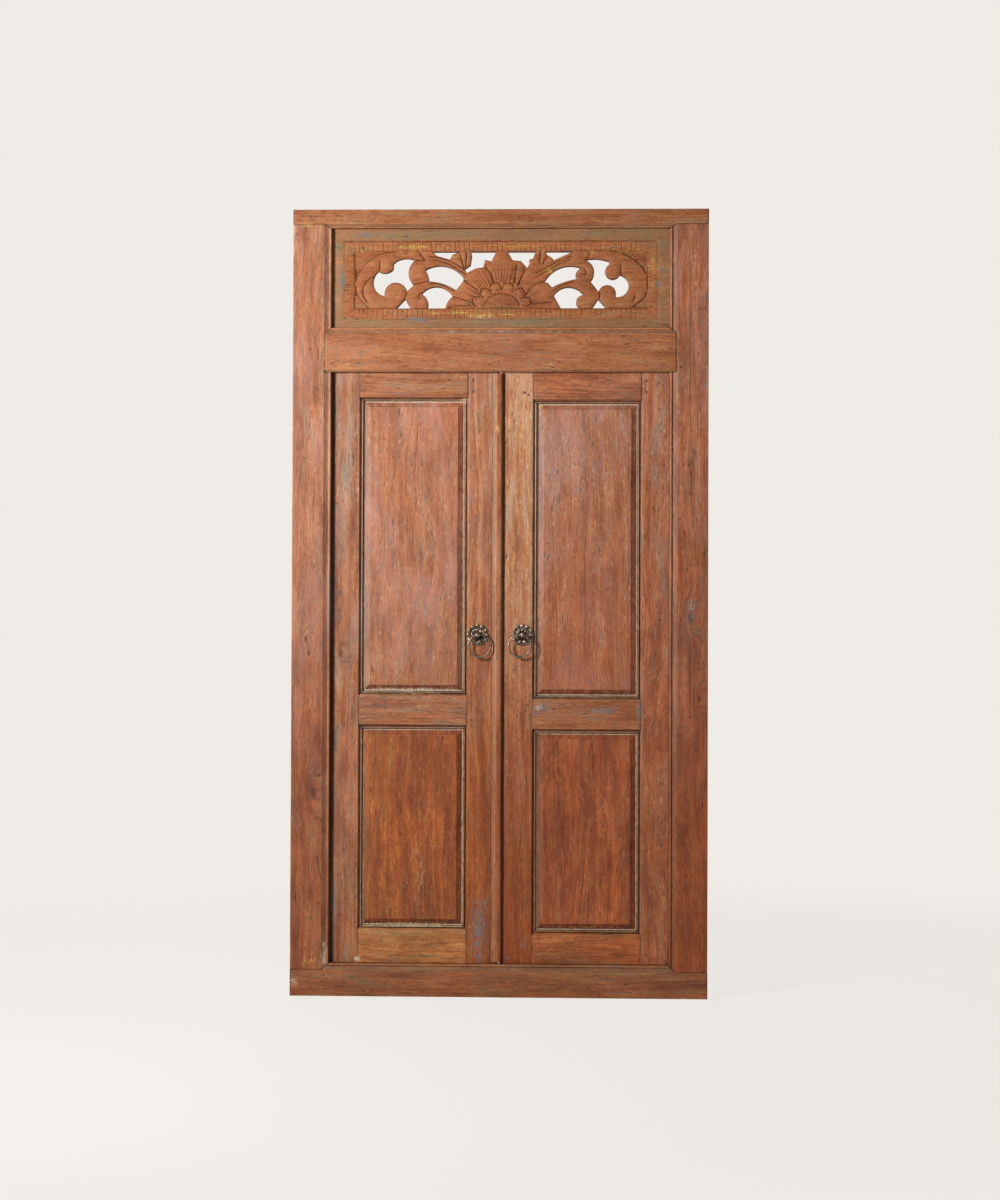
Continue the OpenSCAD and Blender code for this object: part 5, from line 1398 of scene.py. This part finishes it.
pull = {
    "height": round(sum(span("left_rosette", 2)) / 2, 5),
    "across": {label: round(sum(span(label + "_rosette", 0)) / 2, 5) for label in ("left", "right")},
    "face": span("left_rosette", 1)[1],
    "petals": 12, "petalAt": 23.8, "petalRadius": 6.2, "hole": 3.7,
    # profile of the ball and the rope line: (radius, height) in mm
    "boss": [(0, 7.9), (4.5, 7.8), (6.2, 7.0), (7.4, 5.4), (8.4, 2.8), (9.4, 1.5), (12, 1.6), (14.2, 1.9),
             (15.2, 3.0), (16.3, 3.2), (17.6, 2.6), (18.6, 2.0)],
    # cast lobes on the plate: (across, up, radius, rise); the last three make the muzzle under the ball
    "lobes": [(-8.5, 8.8, 4.2, 2.2), (8.5, 8.8, 4.2, 2.2), (0, 12.6, 4.0, 2.2), (-12.6, 0, 3.6, 2.0),
              (12.6, 0, 3.6, 2.0), (-6.3, -19.5, 7.6, 4.8), (6.3, -19.5, 7.6, 4.8), (0, -22.5, 5.6, 4.6)],
    "ring": 29.8, "wire": 2.7, "lean": {"left": 12, "right": 14}, "eyeOut": 0.017,
}


def domed(away, size):
    # height of a round swelling at a distance from its middle, 1 at the middle and 0 at its size
    return np.sqrt(np.clip(1 - (away / size) ** 2, 0, 1))


def makeRosette(label):
    # a cast plate: scalloped petals with a bead on each, a rope line, and a stepped boss
    turns = np.linspace(0, 2 * math.pi, 168, endpoint=False)
    shares = np.linspace(0, 1, 44)
    step = 2 * math.pi / pull["petals"]
    local = (turns + step / 2) % step - step / 2
    a, r = pull["petalAt"], pull["petalRadius"]
    edge = a * np.cos(local) + np.sqrt(np.maximum(r * r - (a * np.sin(local)) ** 2, 0))
    radius = pull["hole"] + shares[:, None] * (edge[None] - pull["hole"])
    fromPetal = np.hypot(radius * np.cos(local) - a, radius * np.sin(local))
    high = 2.0 + 1.9 * domed(fromPetal, r)
    # a bead on each petal, and a smaller one between petals
    beadOff = np.hypot(radius * np.cos(local) - (a + 2.2), radius * np.sin(local))
    high += 1.0 * domed(beadOff, 2.2)
    half = (turns + step) % step - step / 2
    seedOff = np.hypot(radius * np.cos(half) - 19.6, radius * np.sin(half))
    high += 1.3 * domed(seedOff, 2.0)
    # the ball and the rope line stand in the middle
    boss = np.interp(radius, *np.array(pull["boss"]).T)
    rope = 0.35 * np.sin(turns * 36)[None] * np.clip(1 - np.abs(radius - 15.8) / 1.6, 0, 1)
    high = np.where(radius < 18.5, np.maximum(boss + rope, 1.3), high)
    # the petals run out into the muzzle at the foot
    low = np.clip(-radius * np.sin(turns) / 6 - 1.6, 0, 1)
    low = low * np.clip(2.4 - np.abs(radius * np.cos(turns)) / 7, 0, 1)
    high = np.where(radius > 9.5, high * (1 - 0.55 * low), high)
    for ox, oz, size, rise in pull["lobes"]:
        off = np.hypot(radius * np.cos(turns) - ox, radius * np.sin(turns) - oz)
        high = np.maximum(high, (off < size) * (1.4 + rise * domed(off, size)))
    spots = np.stack([radius * np.cos(turns), 0 * radius, radius * np.sin(turns)], -1)
    high += 0.35 * (lumps(spots, 2.2, 81) - 0.5) * (shares[:, None] > 0)
    high[-1] = 0.9
    x, z = pull["across"][label], pull["height"]
    front = np.stack([x + radius * np.cos(turns) * mm, pull["face"] - high * mm,
                      z + radius * np.sin(turns) * mm], -1)
    n = len(turns)
    back = front[[-1, 0]].copy()
    back[..., 1] = pull["face"] + 0.2 * mm
    points = np.concatenate([front.reshape(-1, 3), back.reshape(-1, 3)])
    faces = []
    count = len(shares)
    for j in range(count - 1):
        for i in range(n):
            k = (i + 1) % n
            faces.append((j * n + i, j * n + k, (j + 1) * n + k, (j + 1) * n + i))
    for i in range(n):
        k = (i + 1) % n
        outer, innerRow = count * n, (count + 1) * n
        faces.append(((count - 1) * n + i, (count - 1) * n + k, outer + k, outer + i))
        faces.append((outer + i, outer + k, innerRow + k, innerRow + i))
        faces.append((innerRow + i, innerRow + k, k, i))
    flat = np.zeros(len(points))
    metal = brassMaterial(label + "_rosette_brass", 0.6)
    makePiece(label + "_rosette_visual", [(points, faces, flat, flat)], label + "_leaf", metal,
              [label + "_rosette"], sharp=60)


def makeRing(label):
    side = -1 if label == "left" else 1
    lean = math.radians(pull["lean"][label])
    reach = pull["ring"] * mm
    middle = np.array([side * (abs(pull["across"][label]) - reach * math.sin(lean)),
                       pull["face"] - pull["eyeOut"], pull["height"] - reach * math.cos(lean)])
    around = np.linspace(0, 2 * math.pi, 128, endpoint=False)
    about = np.linspace(0, 2 * math.pi, 20, endpoint=False)
    u, v = np.meshgrid(around, about, indexing="ij")
    spots = np.stack([np.cos(u) * 30, np.sin(u) * 30, v * 3], -1)
    wire = pull["wire"] * (1 - 0.07 * lumps(spots, 4.0, 91) - 0.05 * lumps(spots, 1.6, 92)) * mm
    out = reach + wire * np.cos(v)
    points = middle + np.stack([out * np.cos(u), wire * np.sin(v), out * np.sin(u)], -1)
    n, m = len(around), len(about)
    faces = [(i * m + k, ((i + 1) % n) * m + k, ((i + 1) % n) * m + (k + 1) % m, i * m + (k + 1) % m)
             for i in range(n) for k in range(m)]
    flat = np.zeros(n * m)
    metal = brassMaterial(label + "_ring_brass", 0.45)
    shell = (points.reshape(-1, 3), faces, flat, flat)
    makePiece(label + "_ring_visual", [shell], label + "_ring", metal, [label + "_ring"],
              sharp=70)


for label in ("left", "right"):
    makeRosette(label)
    makeRing(label)
print("ring pulls made")


def finishMetal():
    # eyes, bolts, hinges, screws and nails keep their shapes from the frame model; the end of a part's
    # name says which metal it gets
    eyes = brassMaterial("eye_brass", 0.9)
    plates = ironMaterial("hinge_iron", 0.5)
    pins = ironMaterial("pin_iron", 0.25)
    screws = ironMaterial("screw_iron", 0.8)
    for name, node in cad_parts.items():
        chosen = None
        if name.endswith("ring_eye"):
            chosen = eyes
        elif name.endswith("plate"):
            chosen = plates
        elif name.endswith(("pin", "washer", "nut")):
            chosen = pins
        elif name.endswith(("screws", "nails")):
            chosen = screws
        if chosen:
            if not node.material_slots:
                node.data.materials.append(chosen)
            for slot in node.material_slots:
                slot.material = chosen


finishMetal()
print("metal finished")
